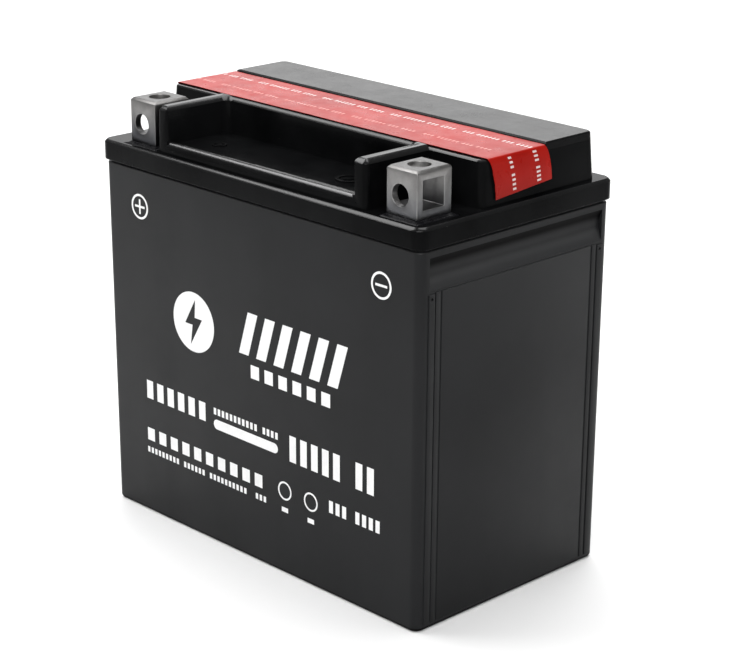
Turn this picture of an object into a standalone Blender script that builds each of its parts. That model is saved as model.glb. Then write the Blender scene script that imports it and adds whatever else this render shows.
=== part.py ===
"""A dry-charged, sealed motorcycle battery with its filler ports still under their foil.

The origin is the centre of the base. X runs along the long side, Y runs from the terminal side
to the back, and Z is up. Every length is in metres.
"""

import math

import bmesh
import bpy
from mathutils import Matrix, Vector

MM = 0.001
GAP = 0.3 * MM  # clearance kept between pieces that touch on the real battery

# Overall size
LENGTH = 150.0 * MM
WIDTH = 87.0 * MM
HEIGHT = 145.0 * MM

# Container: the open box that holds the six cells
CASE_LENGTH = 148.4 * MM
CASE_WIDTH = 84.6 * MM
CASE_DRAFT = 0.4 * MM
CASE_CORNER = 3.0 * MM
CASE_FOOT_ROUND = 1.5 * MM
CASE_WALL = 3.0 * MM
CASE_FLOOR = 3.0 * MM
NECK_INSET = 1.2 * MM
CELLS = 6
PARTITION = 1.6 * MM

# Relief on the two short ends of the container
END_PANEL_TOP = 109.0 * MM
END_PANEL_HALF = 33.3 * MM
END_PANEL_PROUD = 0.25 * MM
END_STRIP = (34.0 * MM, 35.9 * MM)
END_RIB = (36.4 * MM, 38.8 * MM)
END_RIB_PROUD = 0.4 * MM
END_RELIEF_BASE = 2.0 * MM
COVE_LOW = 109.7 * MM
COVE_HIGH = 119.8 * MM
COVE_DEPTH = 1.2 * MM
COVE_HALF = 38.5 * MM

# Cover: the welded lid with its rim, tray, arms, ridge and rear block
RIM_BOTTOM = 122.8 * MM
RIM_TOP = 129.5 * MM
RIM_CORNER = 4.0 * MM
RIM_ROUND = 1.2 * MM
DECK = 2.2 * MM
BLOCK_HALF = 72.3 * MM
BLOCK_FRONT = -15.2 * MM
BLOCK_BACK = 37.0 * MM
BLOCK_LEAN = 0.9 * MM
BLOCK_CORNER = 2.5 * MM
TOP_ROUND = 1.2 * MM
ARM_TOP = 144.9 * MM
ARM_FRONT = -41.0 * MM
ARM_LEFT = -47.8 * MM
ARM_RIGHT = 50.0 * MM
ARM_LEAN = 0.3 * MM
ARM_CORNER = 1.8 * MM
TRAY_LEFT = -42.7 * MM
TRAY_RIGHT = 44.3 * MM
TRAY_BACK = -15.0 * MM
TRAY_CORNER = 2.5 * MM
TRAY_FLOOR = 132.6 * MM
LIP_TOP = 132.9 * MM
LIP_BACK = -39.2 * MM
SHELL = 2.0 * MM

# Filler ports under the foil
FOIL_FRONT = -12.5 * MM
FOIL_BACK = 13.5 * MM
PORT_DECK = 144.0 * MM
PORT_RADIUS = 5.5 * MM
PORT_TUBE_RADIUS = 7.2 * MM
PORT_TUBE_BOTTOM = 133.0 * MM
FOIL_THICK = 0.3 * MM
FOIL_FLAP_BOTTOM = 131.5 * MM

# Vent chamber in the rear block, and its valves
VENT_SEAT = 142.4 * MM
VENT_FLOOR = 135.5 * MM
VENT_HALF = 69.2 * MM
VENT_FRONT = 15.9 * MM
VENT_BACK = 34.4 * MM
VENT_COVER_HALF = 71.3 * MM
VENT_COVER_BACK = 36.0 * MM
VENT_COVER_ROUND = 0.6 * MM
NIPPLE_RADIUS = 3.0 * MM
NIPPLE_BORE = 1.2 * MM
NIPPLE_TOP = 139.5 * MM
VALVE_RADIUS = 4.3 * MM
VALVE_TOP = 141.1 * MM
VALVE_LIFT = 0.5 * MM
PEG_RADIUS = 1.5 * MM
EXIT_RADIUS = 1.2 * MM
ARRESTOR_RADIUS = 2.6 * MM
ARRESTOR_THICK = 1.6 * MM

# Terminals: square lead tubes, open at both ends for a nut
LUG_X = 12.5 * MM
LUG_Y = 14.3 * MM
LUG_FRONT = -39.7 * MM
LUG_BOTTOM = 130.4 * MM
LUG_CHAMFER = 0.8 * MM
POSITIVE_X = -56.3 * MM
NEGATIVE_X = 63.6 * MM
SLOT_LOW = 133.0 * MM
SLOT_HIGH = 142.0 * MM
SLOT_FRONT_WALL = 2.4 * MM
SLOT_BACK_WALL = 3.1 * MM
FRONT_HOLE_RADIUS = 3.4 * MM
FRONT_HOLE_Z = 136.7 * MM
FRONT_HOLE_SHIFT = -0.7 * MM
TOP_HOLE_RADIUS = 3.5 * MM
STUB_RADIUS = 4.5 * MM
STUB_BOTTOM = 125.5 * MM
PAD_MARGIN = 1.7 * MM
PAD_BOTTOM = 128.8 * MM
PAD_TOP = 130.1 * MM

# Plates, straps and separators of one cell
PLATE_HALF_WIDTH = 37.5 * MM
PLATE_BOTTOM = 3.6 * MM
PLATE_TOP = 95.5 * MM
NEGATIVE_PLATES = 5
POSITIVE_PLATES = 4
NEGATIVE_PLATE = 1.2 * MM
POSITIVE_PLATE = 1.6 * MM
SEPARATOR = 0.55 * MM
SEPARATOR_BOTTOM = 3.3 * MM
SEPARATOR_TOP = 98.0 * MM
STRAP_Y = 31.0 * MM
STRAP_HALF_WIDTH = 6.5 * MM
TAB_HALF_WIDTH = 5.0 * MM
STRAP_BOTTOM = 100.0 * MM
STRAP_TOP = 104.0 * MM
LINK_THICK = 2.6 * MM
LINK_TOP = 120.5 * MM
WELD_Z = 113.0 * MM
WELD_RADIUS = 4.0 * MM
POST_RADIUS = 4.0 * MM

SIDES = 24  # facets of a full turn on the round pieces that show
SMALL_SIDES = 14  # facets of a full turn on the small ones inside
ROUND_STEPS = 2
CORNER_STEPS = 4
SLACK = 1.0 * MM  # how far a cutter runs past the face it cuts through

CAVITY_X = CASE_LENGTH - 2 * CASE_WALL
CAVITY_HALF_Y = CASE_WIDTH / 2 - CASE_WALL
CELL_WIDTH = (CAVITY_X - (CELLS - 1) * PARTITION) / CELLS
CELL_PITCH = CELL_WIDTH + PARTITION
CELL_CENTRES = [(cell - (CELLS - 1) / 2) * CELL_PITCH for cell in range(CELLS)]
DECK_UNDERSIDE = RIM_TOP - DECK
PORT_Y = (FOIL_FRONT + FOIL_BACK) / 2
VALVE_Y = (VENT_FRONT + VENT_BACK) / 2
LUG_Y_CENTRE = LUG_FRONT + LUG_Y / 2

BLACK_PLASTIC = ("black_plastic", (0.020, 0.021, 0.023), 0.42, 0.0)
GLOSSY_PLASTIC = ("glossy_plastic", (0.012, 0.012, 0.014), 0.22, 0.0)
FOIL_RED = ("foil_red", (0.62, 0.030, 0.016), 0.28, 0.3)
CAST_LEAD = ("cast_lead", (0.42, 0.42, 0.43), 0.38, 1.0)
RESIN = ("resin", (0.008, 0.008, 0.009), 0.12, 0.0)
VALVE_RUBBER = ("valve_rubber", (0.018, 0.018, 0.018), 0.75, 0.0)
POROUS_DISC = ("porous_disc", (0.72, 0.71, 0.67), 0.90, 0.0)
POSITIVE_PASTE = ("positive_paste", (0.13, 0.055, 0.030), 0.85, 0.0)
NEGATIVE_PASTE = ("negative_paste", (0.27, 0.28, 0.29), 0.75, 0.2)
GLASS_MAT = ("glass_mat", (0.86, 0.86, 0.84), 0.95, 0.0)


def clear_scene():
    """Removes every object that is already in the scene."""
    for obj in list(bpy.data.objects):
        bpy.data.objects.remove(obj, do_unlink=True)


def new_collection(name):
    """A collection under the scene's own."""
    collection = bpy.data.collections.new(name)
    bpy.context.scene.collection.children.link(collection)
    return collection


def new_material(finish):
    """A Principled material from its name, colour, roughness and metallic value."""
    name, colour, roughness, metallic = finish
    if name in bpy.data.materials:
        return bpy.data.materials[name]
    material = bpy.data.materials.new(name)
    material.use_nodes = True
    shader = material.node_tree.nodes["Principled BSDF"]
    shader.inputs["Base Color"].default_value = (*colour, 1.0)
    shader.inputs["Roughness"].default_value = roughness
    shader.inputs["Metallic"].default_value = metallic
    return material


def add_block(bm, low, high, lean=0.0, corner=0.0, corners="all", round_top=0.0, round_base=0.0):
    """Adds a box between two corners.

    Lean is how far each upright side moves in from base to top, or out if it is negative. Corner
    rounds the upright edges: all of them, or only those at the front or the back. A box with
    nothing rounded gives its corner points back.
    """
    low = Vector(low)
    high = Vector(high)
    centre = (low + high) / 2
    size = high - low
    place = Matrix.Translation(centre) @ Matrix.Diagonal((*size, 1.0))
    verts = bmesh.ops.create_cube(bm, size=1.0, matrix=place)["verts"]
    for vert in verts:
        if vert.co.z > centre.z:
            vert.co.x -= lean * math.copysign(1.0, vert.co.x - centre.x)
            vert.co.y -= lean * math.copysign(1.0, vert.co.y - centre.y)
    edges = {edge for vert in verts for edge in vert.link_edges}

    def chosen(edge):
        ends = [vert.co for vert in edge.verts]
        upright = abs(ends[0].z - ends[1].z) > size.z / 2
        at_back = ends[0].y > centre.y
        return upright and (corners == "all" or at_back == (corners == "back"))

    if corner:
        bevel(bm, [edge for edge in edges if chosen(edge)], corner, CORNER_STEPS)
    if round_top:
        bevel(bm, edges_at_height(bm, high.z), round_top, ROUND_STEPS)
    if round_base:
        bevel(bm, edges_at_height(bm, low.z), round_base, ROUND_STEPS)
    return verts


def bevel(bm, edges, width, steps):
    """Rounds the edges."""
    bmesh.ops.bevel(
        bm,
        geom=edges,
        offset=width,
        offset_type="OFFSET",
        segments=steps,
        profile=0.5,
        affect="EDGES",
        clamp_overlap=False,
    )


def edges_at_height(bm, height):
    """The sharp edges that lie level at one height."""
    near = 0.01 * MM
    level = [edge for edge in bm.edges if all(abs(v.co.z - height) < near for v in edge.verts)]
    return [edge for edge in level if edge.calc_face_angle(0.0) > math.radians(30)]


def add_rod(bm, centre, radius, length, axis="Z", sides=SIDES):
    """Adds a cylinder about a centre, along one axis."""
    turn = {"X": Matrix.Rotation(math.pi / 2, 4, "Y"), "Y": Matrix.Rotation(math.pi / 2, 4, "X")}
    bmesh.ops.create_cone(
        bm,
        cap_ends=True,
        segments=sides,
        radius1=radius,
        radius2=radius,
        depth=length,
        matrix=Matrix.Translation(centre) @ turn.get(axis, Matrix.Identity(4)),
    )


def add_upright(bm, x, y, radius, low, high, sides=SIDES):
    """Adds an upright cylinder between two heights."""
    add_rod(bm, (x, y, (low + high) / 2), radius, high - low, "Z", sides)


def make(name, bm, collection, finish=None):
    """Turns the working mesh into an object; a piece has a finish and a tool has none."""
    mesh = bpy.data.meshes.new(name)
    bm.to_mesh(mesh)
    bm.free()
    obj = bpy.data.objects.new(name, mesh)
    collection.objects.link(obj)
    if finish:
        mesh.materials.append(new_material(finish))
    else:
        obj.hide_render = True
        obj.display_type = "WIRE"
    return obj


def combine(target, operation, name, bm, solver="EXACT"):
    """Joins the working mesh to a piece, or cuts it away."""
    tool = make(f"{target.name}_{name}", bm, tools)
    modifier = target.modifiers.new(name, "BOOLEAN")
    modifier.operation = operation
    modifier.solver = solver
    modifier.object = tool


def settle(target):
    """Makes the shape that the modifiers give into the piece's own mesh."""
    graph = bpy.context.evaluated_depsgraph_get()
    target.data = bpy.data.meshes.new_from_object(target.evaluated_get(graph))
    target.modifiers.clear()


def smooth(target, angle=40.0):
    """Shades a piece smooth, with its real edges left sharp."""
    settle(target)
    target.data.shade_smooth()
    target.data.set_sharp_from_angle(angle=math.radians(angle))


def turned(name, profile, x, y, finish):
    """A body turned about an upright axis; the profile runs down its outer side."""
    bm = bmesh.new()
    verts = [bm.verts.new((radius, 0.0, height)) for radius, height in profile]
    for start, end in zip(verts, verts[1:]):
        bm.edges.new((start, end))
    obj = make(name, bm, parts, finish)
    obj.location = (x, y, 0.0)
    screw = obj.modifiers.new("Turn", "SCREW")
    screw.steps = SMALL_SIDES
    screw.render_steps = SMALL_SIDES
    screw.use_merge_vertices = True
    screw.merge_threshold = 0.05 * MM
    return obj


def swept_sheet(name, points, direction, thickness, finish):
    """A thin sheet: a bent line of points, drawn out along one direction and given a thickness."""
    bm = bmesh.new()
    verts = [bm.verts.new(point) for point in points]
    edges = [bm.edges.new(pair) for pair in zip(verts, verts[1:])]
    drawn = bmesh.ops.extrude_edge_only(bm, edges=edges)["geom"]
    moved = [item for item in drawn if isinstance(item, bmesh.types.BMVert)]
    bmesh.ops.translate(bm, verts=moved, vec=direction)
    obj = make(name, bm, parts, finish)
    solid = obj.modifiers.new("Thickness", "SOLIDIFY")
    solid.thickness = thickness
    solid.offset = 0.0
    solid.use_even_offset = True
    return obj


def both_ways(values):
    """A range and its mirror image."""
    low, high = values
    return [(low, high), (-high, -low)]


def make_container():
    """The container: a drafted box with six cells, and the moulded relief on its ends."""
    half_x = CASE_LENGTH / 2
    half_y = CASE_WIDTH / 2
    base_x = half_x - CASE_DRAFT
    base_y = half_y - CASE_DRAFT
    top = RIM_BOTTOM - GAP
    bm = bmesh.new()
    add_block(
        bm,
        (-base_x, -base_y, 0.0),
        (base_x, base_y, top),
        lean=-CASE_DRAFT,
        corner=CASE_CORNER,
        round_base=CASE_FOOT_ROUND,
    )
    container = make("container", bm, parts, BLACK_PLASTIC)

    neck_x = half_x - NECK_INSET
    neck_y = half_y - NECK_INSET
    bm = bmesh.new()
    add_block(bm, (-neck_x, -neck_y, top / 2), (neck_x, neck_y, DECK_UNDERSIDE - GAP), corner=CASE_CORNER)
    combine(container, "UNION", "neck", bm)

    bm = bmesh.new()
    inner = half_x - CASE_WALL / 2
    for side in (-1, 1):
        relief = [((-END_PANEL_HALF, END_PANEL_HALF), END_PANEL_PROUD, END_PANEL_TOP)]
        relief += [(span, END_PANEL_PROUD, END_PANEL_TOP) for span in both_ways(END_STRIP)]
        relief += [(span, END_RIB_PROUD, END_PANEL_TOP - END_RIB_PROUD) for span in both_ways(END_RIB)]
        for (low, high), proud, relief_top in relief:
            xs = sorted((side * inner, side * (base_x + proud)))
            corners = add_block(bm, (xs[0], low, END_RELIEF_BASE), (xs[1], high, relief_top))
            for vert in corners:
                if abs(vert.co.x) > base_x and vert.co.z > relief_top / 2:
                    vert.co.x += side * CASE_DRAFT * relief_top / top
    combine(container, "UNION", "end_relief", bm)

    chord = COVE_HIGH - COVE_LOW
    radius = chord**2 / (8 * COVE_DEPTH) + COVE_DEPTH / 2
    reach = half_x - COVE_DEPTH + radius
    bm = bmesh.new()
    for side in (-1, 1):
        centre = (side * reach, 0.0, (COVE_LOW + COVE_HIGH) / 2)
        add_rod(bm, centre, radius, 2 * COVE_HALF, "Y", 2 * SIDES)
    combine(container, "DIFFERENCE", "coves", bm)

    bm = bmesh.new()
    half_cell = CELL_WIDTH / 2
    for x in CELL_CENTRES:
        low = (x - half_cell, -CAVITY_HALF_Y, CASE_FLOOR)
        high = (x + half_cell, CAVITY_HALF_Y, DECK_UNDERSIDE + SLACK)
        add_block(bm, low, high)
    combine(container, "DIFFERENCE", "cells", bm)

    bm = bmesh.new()
    for cell in range(CELLS - 1):
        add_rod(bm, weld_place(cell), WELD_RADIUS + GAP, PARTITION + SLACK, "X", SMALL_SIDES)
    combine(container, "DIFFERENCE", "weld_holes", bm)
    smooth(container)


def weld_place(cell):
    """The centre of the weld between a cell and the next; the links change sides at every cell."""
    side = 1 if cell % 2 == 0 else -1
    x = (CELL_CENTRES[cell] + CELL_CENTRES[cell + 1]) / 2
    return (x, side * STRAP_Y, WELD_Z)


def make_cover():
    """The cover: rim, tray between two arms, ridge, filler ports and vent chamber, hollow below."""
    half_x = LENGTH / 2
    half_y = WIDTH / 2
    bm = bmesh.new()
    low = (-half_x, -half_y, RIM_BOTTOM)
    high = (half_x, half_y, RIM_TOP)
    add_block(bm, low, high, corner=RIM_CORNER, round_top=RIM_ROUND)
    cover = make("cover", bm, parts, GLOSSY_PLASTIC)

    root = RIM_TOP - DECK / 2
    bm = bmesh.new()
    low = (-BLOCK_HALF, BLOCK_FRONT, root)
    high = (BLOCK_HALF, BLOCK_BACK, HEIGHT)
    add_block(bm, low, high, lean=BLOCK_LEAN, corner=BLOCK_CORNER, round_top=TOP_ROUND)
    combine(cover, "UNION", "rear_block", bm)

    bm = bmesh.new()
    low = (ARM_LEFT, ARM_FRONT, root)
    high = (ARM_RIGHT, BLOCK_FRONT + 4 * SHELL, ARM_TOP)
    add_block(
        bm,
        low,
        high,
        lean=ARM_LEAN,
        corner=ARM_CORNER,
        corners="front",
        round_top=TOP_ROUND,
    )
    combine(cover, "UNION", "arms", bm)

    bm = bmesh.new()
    low = (TRAY_LEFT, ARM_FRONT - 2 * TOP_ROUND, LIP_TOP)
    high = (TRAY_RIGHT, TRAY_BACK, ARM_TOP - TOP_ROUND)
    add_block(bm, low, high, corner=TRAY_CORNER, corners="back")
    flare_top(bm, TOP_ROUND)
    combine(cover, "DIFFERENCE", "tray", bm, "MANIFOLD")
    bm = bmesh.new()
    low = (TRAY_LEFT, LIP_BACK, TRAY_FLOOR)
    high = (TRAY_RIGHT, TRAY_BACK, LIP_TOP + SLACK)
    add_block(bm, low, high, corner=TRAY_CORNER, corners="back")
    combine(cover, "DIFFERENCE", "tray_floor", bm)

    hollow_cover(cover)
    open_ports(cover)
    open_vent_chamber(cover)
    open_terminal_pockets(cover)
    smooth(cover, 30.0)


def flare_top(bm, width):
    """Widens the top of a cutter in a quarter round, so that it rounds over the edge it leaves."""
    face = max(bm.faces, key=lambda item: item.calc_center_median().z)
    spans = [[vert.co[axis] for vert in face.verts] for axis in range(3)]
    middle = [(min(span) + max(span)) / 2 for span in spans]
    half = [(max(span) - min(span)) / 2 for span in spans[:2]]
    turns = [math.pi / 2 * step / ROUND_STEPS for step in range(ROUND_STEPS + 1)]
    outs = [width * (1 - math.cos(turn)) for turn in turns]
    ups = [width * math.sin(turn) for turn in turns]
    outs.append(outs[-1])
    ups.append(ups[-1] + SLACK)
    for before, out, up in zip(outs, outs[1:], ups[1:]):
        grown = bmesh.ops.extrude_face_region(bm, geom=[face])["geom"]
        bmesh.ops.delete(bm, geom=[face], context="FACES_ONLY")
        face = next(item for item in grown if isinstance(item, bmesh.types.BMFace))
        for vert in face.verts:
            for axis in range(2):
                ratio = (half[axis] + out) / (half[axis] + before)
                vert.co[axis] = middle[axis] + (vert.co[axis] - middle[axis]) * ratio
            vert.co.z = middle[2] + up


def hollow_cover(cover):
    """Hollows the cover from below, with a rib left over every partition of the container."""
    skirt_x = CASE_LENGTH / 2 - NECK_INSET + GAP
    skirt_y = CASE_WIDTH / 2 - NECK_INSET + GAP
    bm = bmesh.new()
    low = (-skirt_x, -skirt_y, RIM_BOTTOM - SLACK)
    high = (skirt_x, skirt_y, DECK_UNDERSIDE)
    add_block(bm, low, high, corner=CASE_CORNER)
    combine(cover, "DIFFERENCE", "skirt", bm)

    below = DECK_UNDERSIDE - SLACK
    half_cell = CELL_WIDTH / 2
    end = BLOCK_HALF - BLOCK_LEAN - SHELL
    block_ends = (-end, end)
    arm_ends = (ARM_LEFT + SHELL, ARM_RIGHT - SHELL)
    ports_front = BLOCK_FRONT + BLOCK_LEAN + SHELL
    zones = (
        ("under_tray", arm_ends, ARM_FRONT + SHELL, TRAY_BACK - SHELL, TRAY_FLOOR - SHELL),
        ("under_ports", block_ends, ports_front, VENT_FRONT - SHELL, PORT_DECK - SHELL),
        ("under_vents", block_ends, VENT_FRONT - 2 * SHELL, VENT_BACK, VENT_FLOOR - SHELL),
    )
    for name, ends, front, back, ceiling in zones:
        bm = bmesh.new()
        for x in CELL_CENTRES:
            left = max(x - half_cell, ends[0])
            right = min(x + half_cell, ends[1])
            if right - left > SHELL:
                add_block(bm, (left, front, below), (right, back, ceiling))
        combine(cover, "DIFFERENCE", name, bm)


def open_ports(cover):
    """Sinks the channel for the foil, and opens a tubed filler port into every cell."""
    bm = bmesh.new()
    low = (-LENGTH, FOIL_FRONT, PORT_DECK)
    high = (LENGTH, FOIL_BACK + SLACK, HEIGHT + SLACK)
    add_block(bm, low, high)
    combine(cover, "DIFFERENCE", "foil_channel", bm)
    bm = bmesh.new()
    for x in CELL_CENTRES:
        add_upright(bm, x, PORT_Y, PORT_TUBE_RADIUS, PORT_TUBE_BOTTOM, PORT_DECK - SHELL / 2)
    combine(cover, "UNION", "port_tubes", bm)
    bm = bmesh.new()
    for x in CELL_CENTRES:
        add_upright(bm, x, PORT_Y, PORT_RADIUS, PORT_TUBE_BOTTOM - SLACK, HEIGHT)
    combine(cover, "DIFFERENCE", "port_bores", bm)


def open_vent_chamber(cover):
    """Opens the vent chamber, with a nipple over every cell and one way out at the back."""
    bm = bmesh.new()
    low = (-LENGTH, FOIL_BACK, VENT_SEAT)
    high = (LENGTH, WIDTH, HEIGHT + SLACK)
    add_block(bm, low, high)
    combine(cover, "DIFFERENCE", "vent_seat", bm)
    bm = bmesh.new()
    low = (-VENT_HALF, VENT_FRONT, VENT_FLOOR)
    high = (VENT_HALF, VENT_BACK, HEIGHT)
    add_block(bm, low, high)
    combine(cover, "DIFFERENCE", "vent_chamber", bm)
    bm = bmesh.new()
    for x in CELL_CENTRES:
        add_upright(bm, x, VALVE_Y, NIPPLE_RADIUS, VENT_FLOOR - SHELL / 2, NIPPLE_TOP, SMALL_SIDES)
    combine(cover, "UNION", "nipples", bm)
    bm = bmesh.new()
    for x in CELL_CENTRES:
        low_end = VENT_FLOOR - 2 * SHELL
        add_upright(bm, x, VALVE_Y, NIPPLE_BORE, low_end, NIPPLE_TOP + SLACK, SMALL_SIDES)
    combine(cover, "DIFFERENCE", "nipple_bores", bm)
    bm = bmesh.new()
    add_rod(bm, (0.0, BLOCK_BACK, arrestor_height()), EXIT_RADIUS, 5 * SHELL, "Y", SMALL_SIDES)
    combine(cover, "DIFFERENCE", "gas_exit", bm)


def arrestor_height():
    """The height of the gas exit, halfway up the vent chamber."""
    return (VENT_FLOOR + VENT_SEAT) / 2


def pad_corners(x):
    """The lowest and highest corner of the resin pad round a terminal."""
    low = (x - LUG_X / 2 - PAD_MARGIN, LUG_FRONT - PAD_MARGIN, PAD_BOTTOM)
    high = (x + LUG_X / 2 + PAD_MARGIN, LUG_FRONT + LUG_Y + PAD_MARGIN, PAD_TOP)
    return Vector(low), Vector(high)


def open_terminal_pockets(cover):
    """Sinks a pocket for each resin pad, and bores the deck for each terminal's stub."""
    margin = Vector((GAP, GAP, GAP))
    bm = bmesh.new()
    for x in (POSITIVE_X, NEGATIVE_X):
        low, high = pad_corners(x)
        add_block(bm, low - margin, high + margin)
    combine(cover, "DIFFERENCE", "terminal_pockets", bm)
    bm = bmesh.new()
    for x in (POSITIVE_X, NEGATIVE_X):
        add_upright(bm, x, LUG_Y_CENTRE, STUB_RADIUS + GAP, DECK_UNDERSIDE - SLACK, RIM_TOP)
    combine(cover, "DIFFERENCE", "stub_holes", bm)


def make_vent_cover():
    """The plate over the vent chamber, with a peg above every valve."""
    bm = bmesh.new()
    low = (-VENT_COVER_HALF, FOIL_BACK + GAP, VENT_SEAT + GAP)
    high = (VENT_COVER_HALF, VENT_COVER_BACK, HEIGHT)
    add_block(bm, low, high, corner=BLOCK_CORNER, corners="back", round_top=VENT_COVER_ROUND)
    plate = make("vent_cover", bm, parts, BLACK_PLASTIC)
    bm = bmesh.new()
    for x in CELL_CENTRES:
        low_end = VALVE_TOP + VALVE_LIFT + GAP
        add_upright(bm, x, VALVE_Y, PEG_RADIUS, low_end, HEIGHT - SHELL / 2, SMALL_SIDES)
    combine(plate, "UNION", "pegs", bm)
    smooth(plate, 30.0)


def make_foil():
    """The tear-off foil over the ports, folded down over both ends of the block."""
    slope = BLOCK_LEAN / (HEIGHT - RIM_TOP + DECK / 2)
    stand_off = GAP + FOIL_THICK / 2
    top = PORT_DECK + stand_off
    corner_x = BLOCK_HALF - slope * (PORT_DECK - RIM_TOP) + stand_off
    foot_x = BLOCK_HALF - slope * (FOIL_FLAP_BOTTOM - RIM_TOP) + stand_off
    soft = FOIL_THICK
    right = [(foot_x, FOIL_FLAP_BOTTOM), (corner_x, top - soft), (corner_x - soft, top)]
    left = [(-x, z) for x, z in reversed(right)]
    front = FOIL_FRONT + GAP
    points = [(x, front, z) for x, z in right + left]
    width = FOIL_BACK - FOIL_FRONT - 2 * GAP
    swept_sheet("foil_seal", points, (0.0, width, 0.0), FOIL_THICK, FOIL_RED)


def make_valve(cell):
    """The rubber cap that closes one cell's vent nipple."""
    bore = NIPPLE_RADIUS + GAP
    rim = VENT_FLOOR + GAP
    crown = NIPPLE_TOP + GAP
    profile = [(0.0, VALVE_TOP), (VALVE_RADIUS, VALVE_TOP), (VALVE_RADIUS, rim)]
    profile += [(bore, rim), (bore, crown), (0.0, crown)]
    valve = turned(f"safety_valve_{cell + 1}", profile, CELL_CENTRES[cell], VALVE_Y, VALVE_RUBBER)
    smooth(valve)


def make_flame_arrestor():
    """The porous disc over the gas exit."""
    bm = bmesh.new()
    y = VENT_BACK - GAP - ARRESTOR_THICK / 2
    add_rod(bm, (0.0, y, arrestor_height()), ARRESTOR_RADIUS, ARRESTOR_THICK, "Y", SMALL_SIDES)
    smooth(make("flame_arrestor", bm, parts, POROUS_DISC))


def make_terminal(name, x):
    """A square lead tube with a bolt hole in its front and its top, on a stub through the cover."""
    bm = bmesh.new()
    low = (x - LUG_X / 2, LUG_FRONT, LUG_BOTTOM)
    high = (x + LUG_X / 2, LUG_FRONT + LUG_Y, HEIGHT)
    add_block(bm, low, high)
    bevel(bm, edges_at_height(bm, HEIGHT), LUG_CHAMFER, 1)
    terminal = make(name, bm, parts, CAST_LEAD)
    bm = bmesh.new()
    add_upright(bm, x, LUG_Y_CENTRE, STUB_RADIUS, STUB_BOTTOM, (LUG_BOTTOM + SLOT_LOW) / 2)
    combine(terminal, "UNION", "stub", bm)
    bm = bmesh.new()
    low = (x - LUG_X, LUG_FRONT + SLOT_FRONT_WALL, SLOT_LOW)
    high = (x + LUG_X, LUG_FRONT + LUG_Y - SLOT_BACK_WALL, SLOT_HIGH)
    add_block(bm, low, high)
    combine(terminal, "DIFFERENCE", "nut_slot", bm)
    bm = bmesh.new()
    centre = (x + FRONT_HOLE_SHIFT, LUG_FRONT, FRONT_HOLE_Z)
    add_rod(bm, centre, FRONT_HOLE_RADIUS, 2 * SLOT_FRONT_WALL + SLACK, "Y")
    combine(terminal, "DIFFERENCE", "front_hole", bm)
    bm = bmesh.new()
    add_upright(bm, x, LUG_Y_CENTRE, TOP_HOLE_RADIUS, SLOT_HIGH - SLACK, HEIGHT + SLACK)
    combine(terminal, "DIFFERENCE", "top_hole", bm)
    smooth(terminal, 30.0)


def make_terminal_seal(name, x):
    """The resin pad poured round the foot of a terminal."""
    low, high = pad_corners(x)
    bm = bmesh.new()
    add_block(bm, low, high)
    pad = make(name, bm, parts, RESIN)
    bm = bmesh.new()
    add_upright(bm, x, LUG_Y_CENTRE, STUB_RADIUS + GAP, PAD_BOTTOM - SLACK, PAD_TOP + SLACK)
    combine(pad, "DIFFERENCE", "stub_hole", bm)
    settle(pad)


def layer_centres():
    """Across one cell: the centres of the negative plates, positive plates and separators."""
    order = ["negative"] + ["separator", "positive", "separator", "negative"] * POSITIVE_PLATES
    thick = {"negative": NEGATIVE_PLATE, "positive": POSITIVE_PLATE, "separator": SEPARATOR}
    total = sum(thick[kind] + GAP for kind in order) - GAP
    centres = {"negative": [], "positive": [], "separator": []}
    x = -total / 2
    for kind in order:
        centres[kind].append(x + thick[kind] / 2)
        x += thick[kind] + GAP
    return centres


def make_plate_group(name, cell, kind, finish):
    """The plates of one polarity in one cell, their strap, and its link or terminal post."""
    positive = kind == "positive"
    side = -1 if (cell % 2 == 0) == positive else 1
    thick = POSITIVE_PLATE if positive else NEGATIVE_PLATE
    plates = [CELL_CENTRES[cell] + x for x in layer_centres()[kind]]
    bm = bmesh.new()
    for x in plates:
        low = (x - thick / 2, -PLATE_HALF_WIDTH, PLATE_BOTTOM)
        add_block(bm, low, (x + thick / 2, PLATE_HALF_WIDTH, PLATE_TOP))
    group = make(name, bm, parts, finish)

    bm = bmesh.new()
    inset = thick / 4
    for x in plates:
        low = (x - inset, side * STRAP_Y - TAB_HALF_WIDTH, PLATE_TOP - SLACK)
        add_block(bm, low, (x + inset, side * STRAP_Y + TAB_HALF_WIDTH, STRAP_BOTTOM + SLACK))
    combine(group, "UNION", "tabs", bm)

    towards = -1 if positive else 1
    link_x = CELL_CENTRES[cell] + towards * (CELL_WIDTH / 2 - GAP)
    first = min(plates[0] - thick / 2, link_x)
    last = max(plates[-1] + thick / 2, link_x)
    strap_y = (side * STRAP_Y - STRAP_HALF_WIDTH, side * STRAP_Y + STRAP_HALF_WIDTH)
    bm = bmesh.new()
    add_block(bm, (first, strap_y[0], STRAP_BOTTOM), (last, strap_y[1], STRAP_TOP))
    combine(group, "UNION", "strap", bm)

    bm = bmesh.new()
    has_post = cell == (0 if positive else CELLS - 1)
    if has_post:
        post_x = POSITIVE_X if positive else NEGATIVE_X
        add_upright(bm, post_x, LUG_Y_CENTRE, POST_RADIUS, STRAP_TOP - SLACK, STUB_BOTTOM - GAP)
    else:
        inner = link_x - towards * LINK_THICK
        low = (min(link_x, inner), strap_y[0], STRAP_TOP - SLACK)
        add_block(bm, low, (max(link_x, inner), strap_y[1], LINK_TOP))
    combine(group, "UNION", "post" if has_post else "link", bm)
    settle(group)


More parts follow.
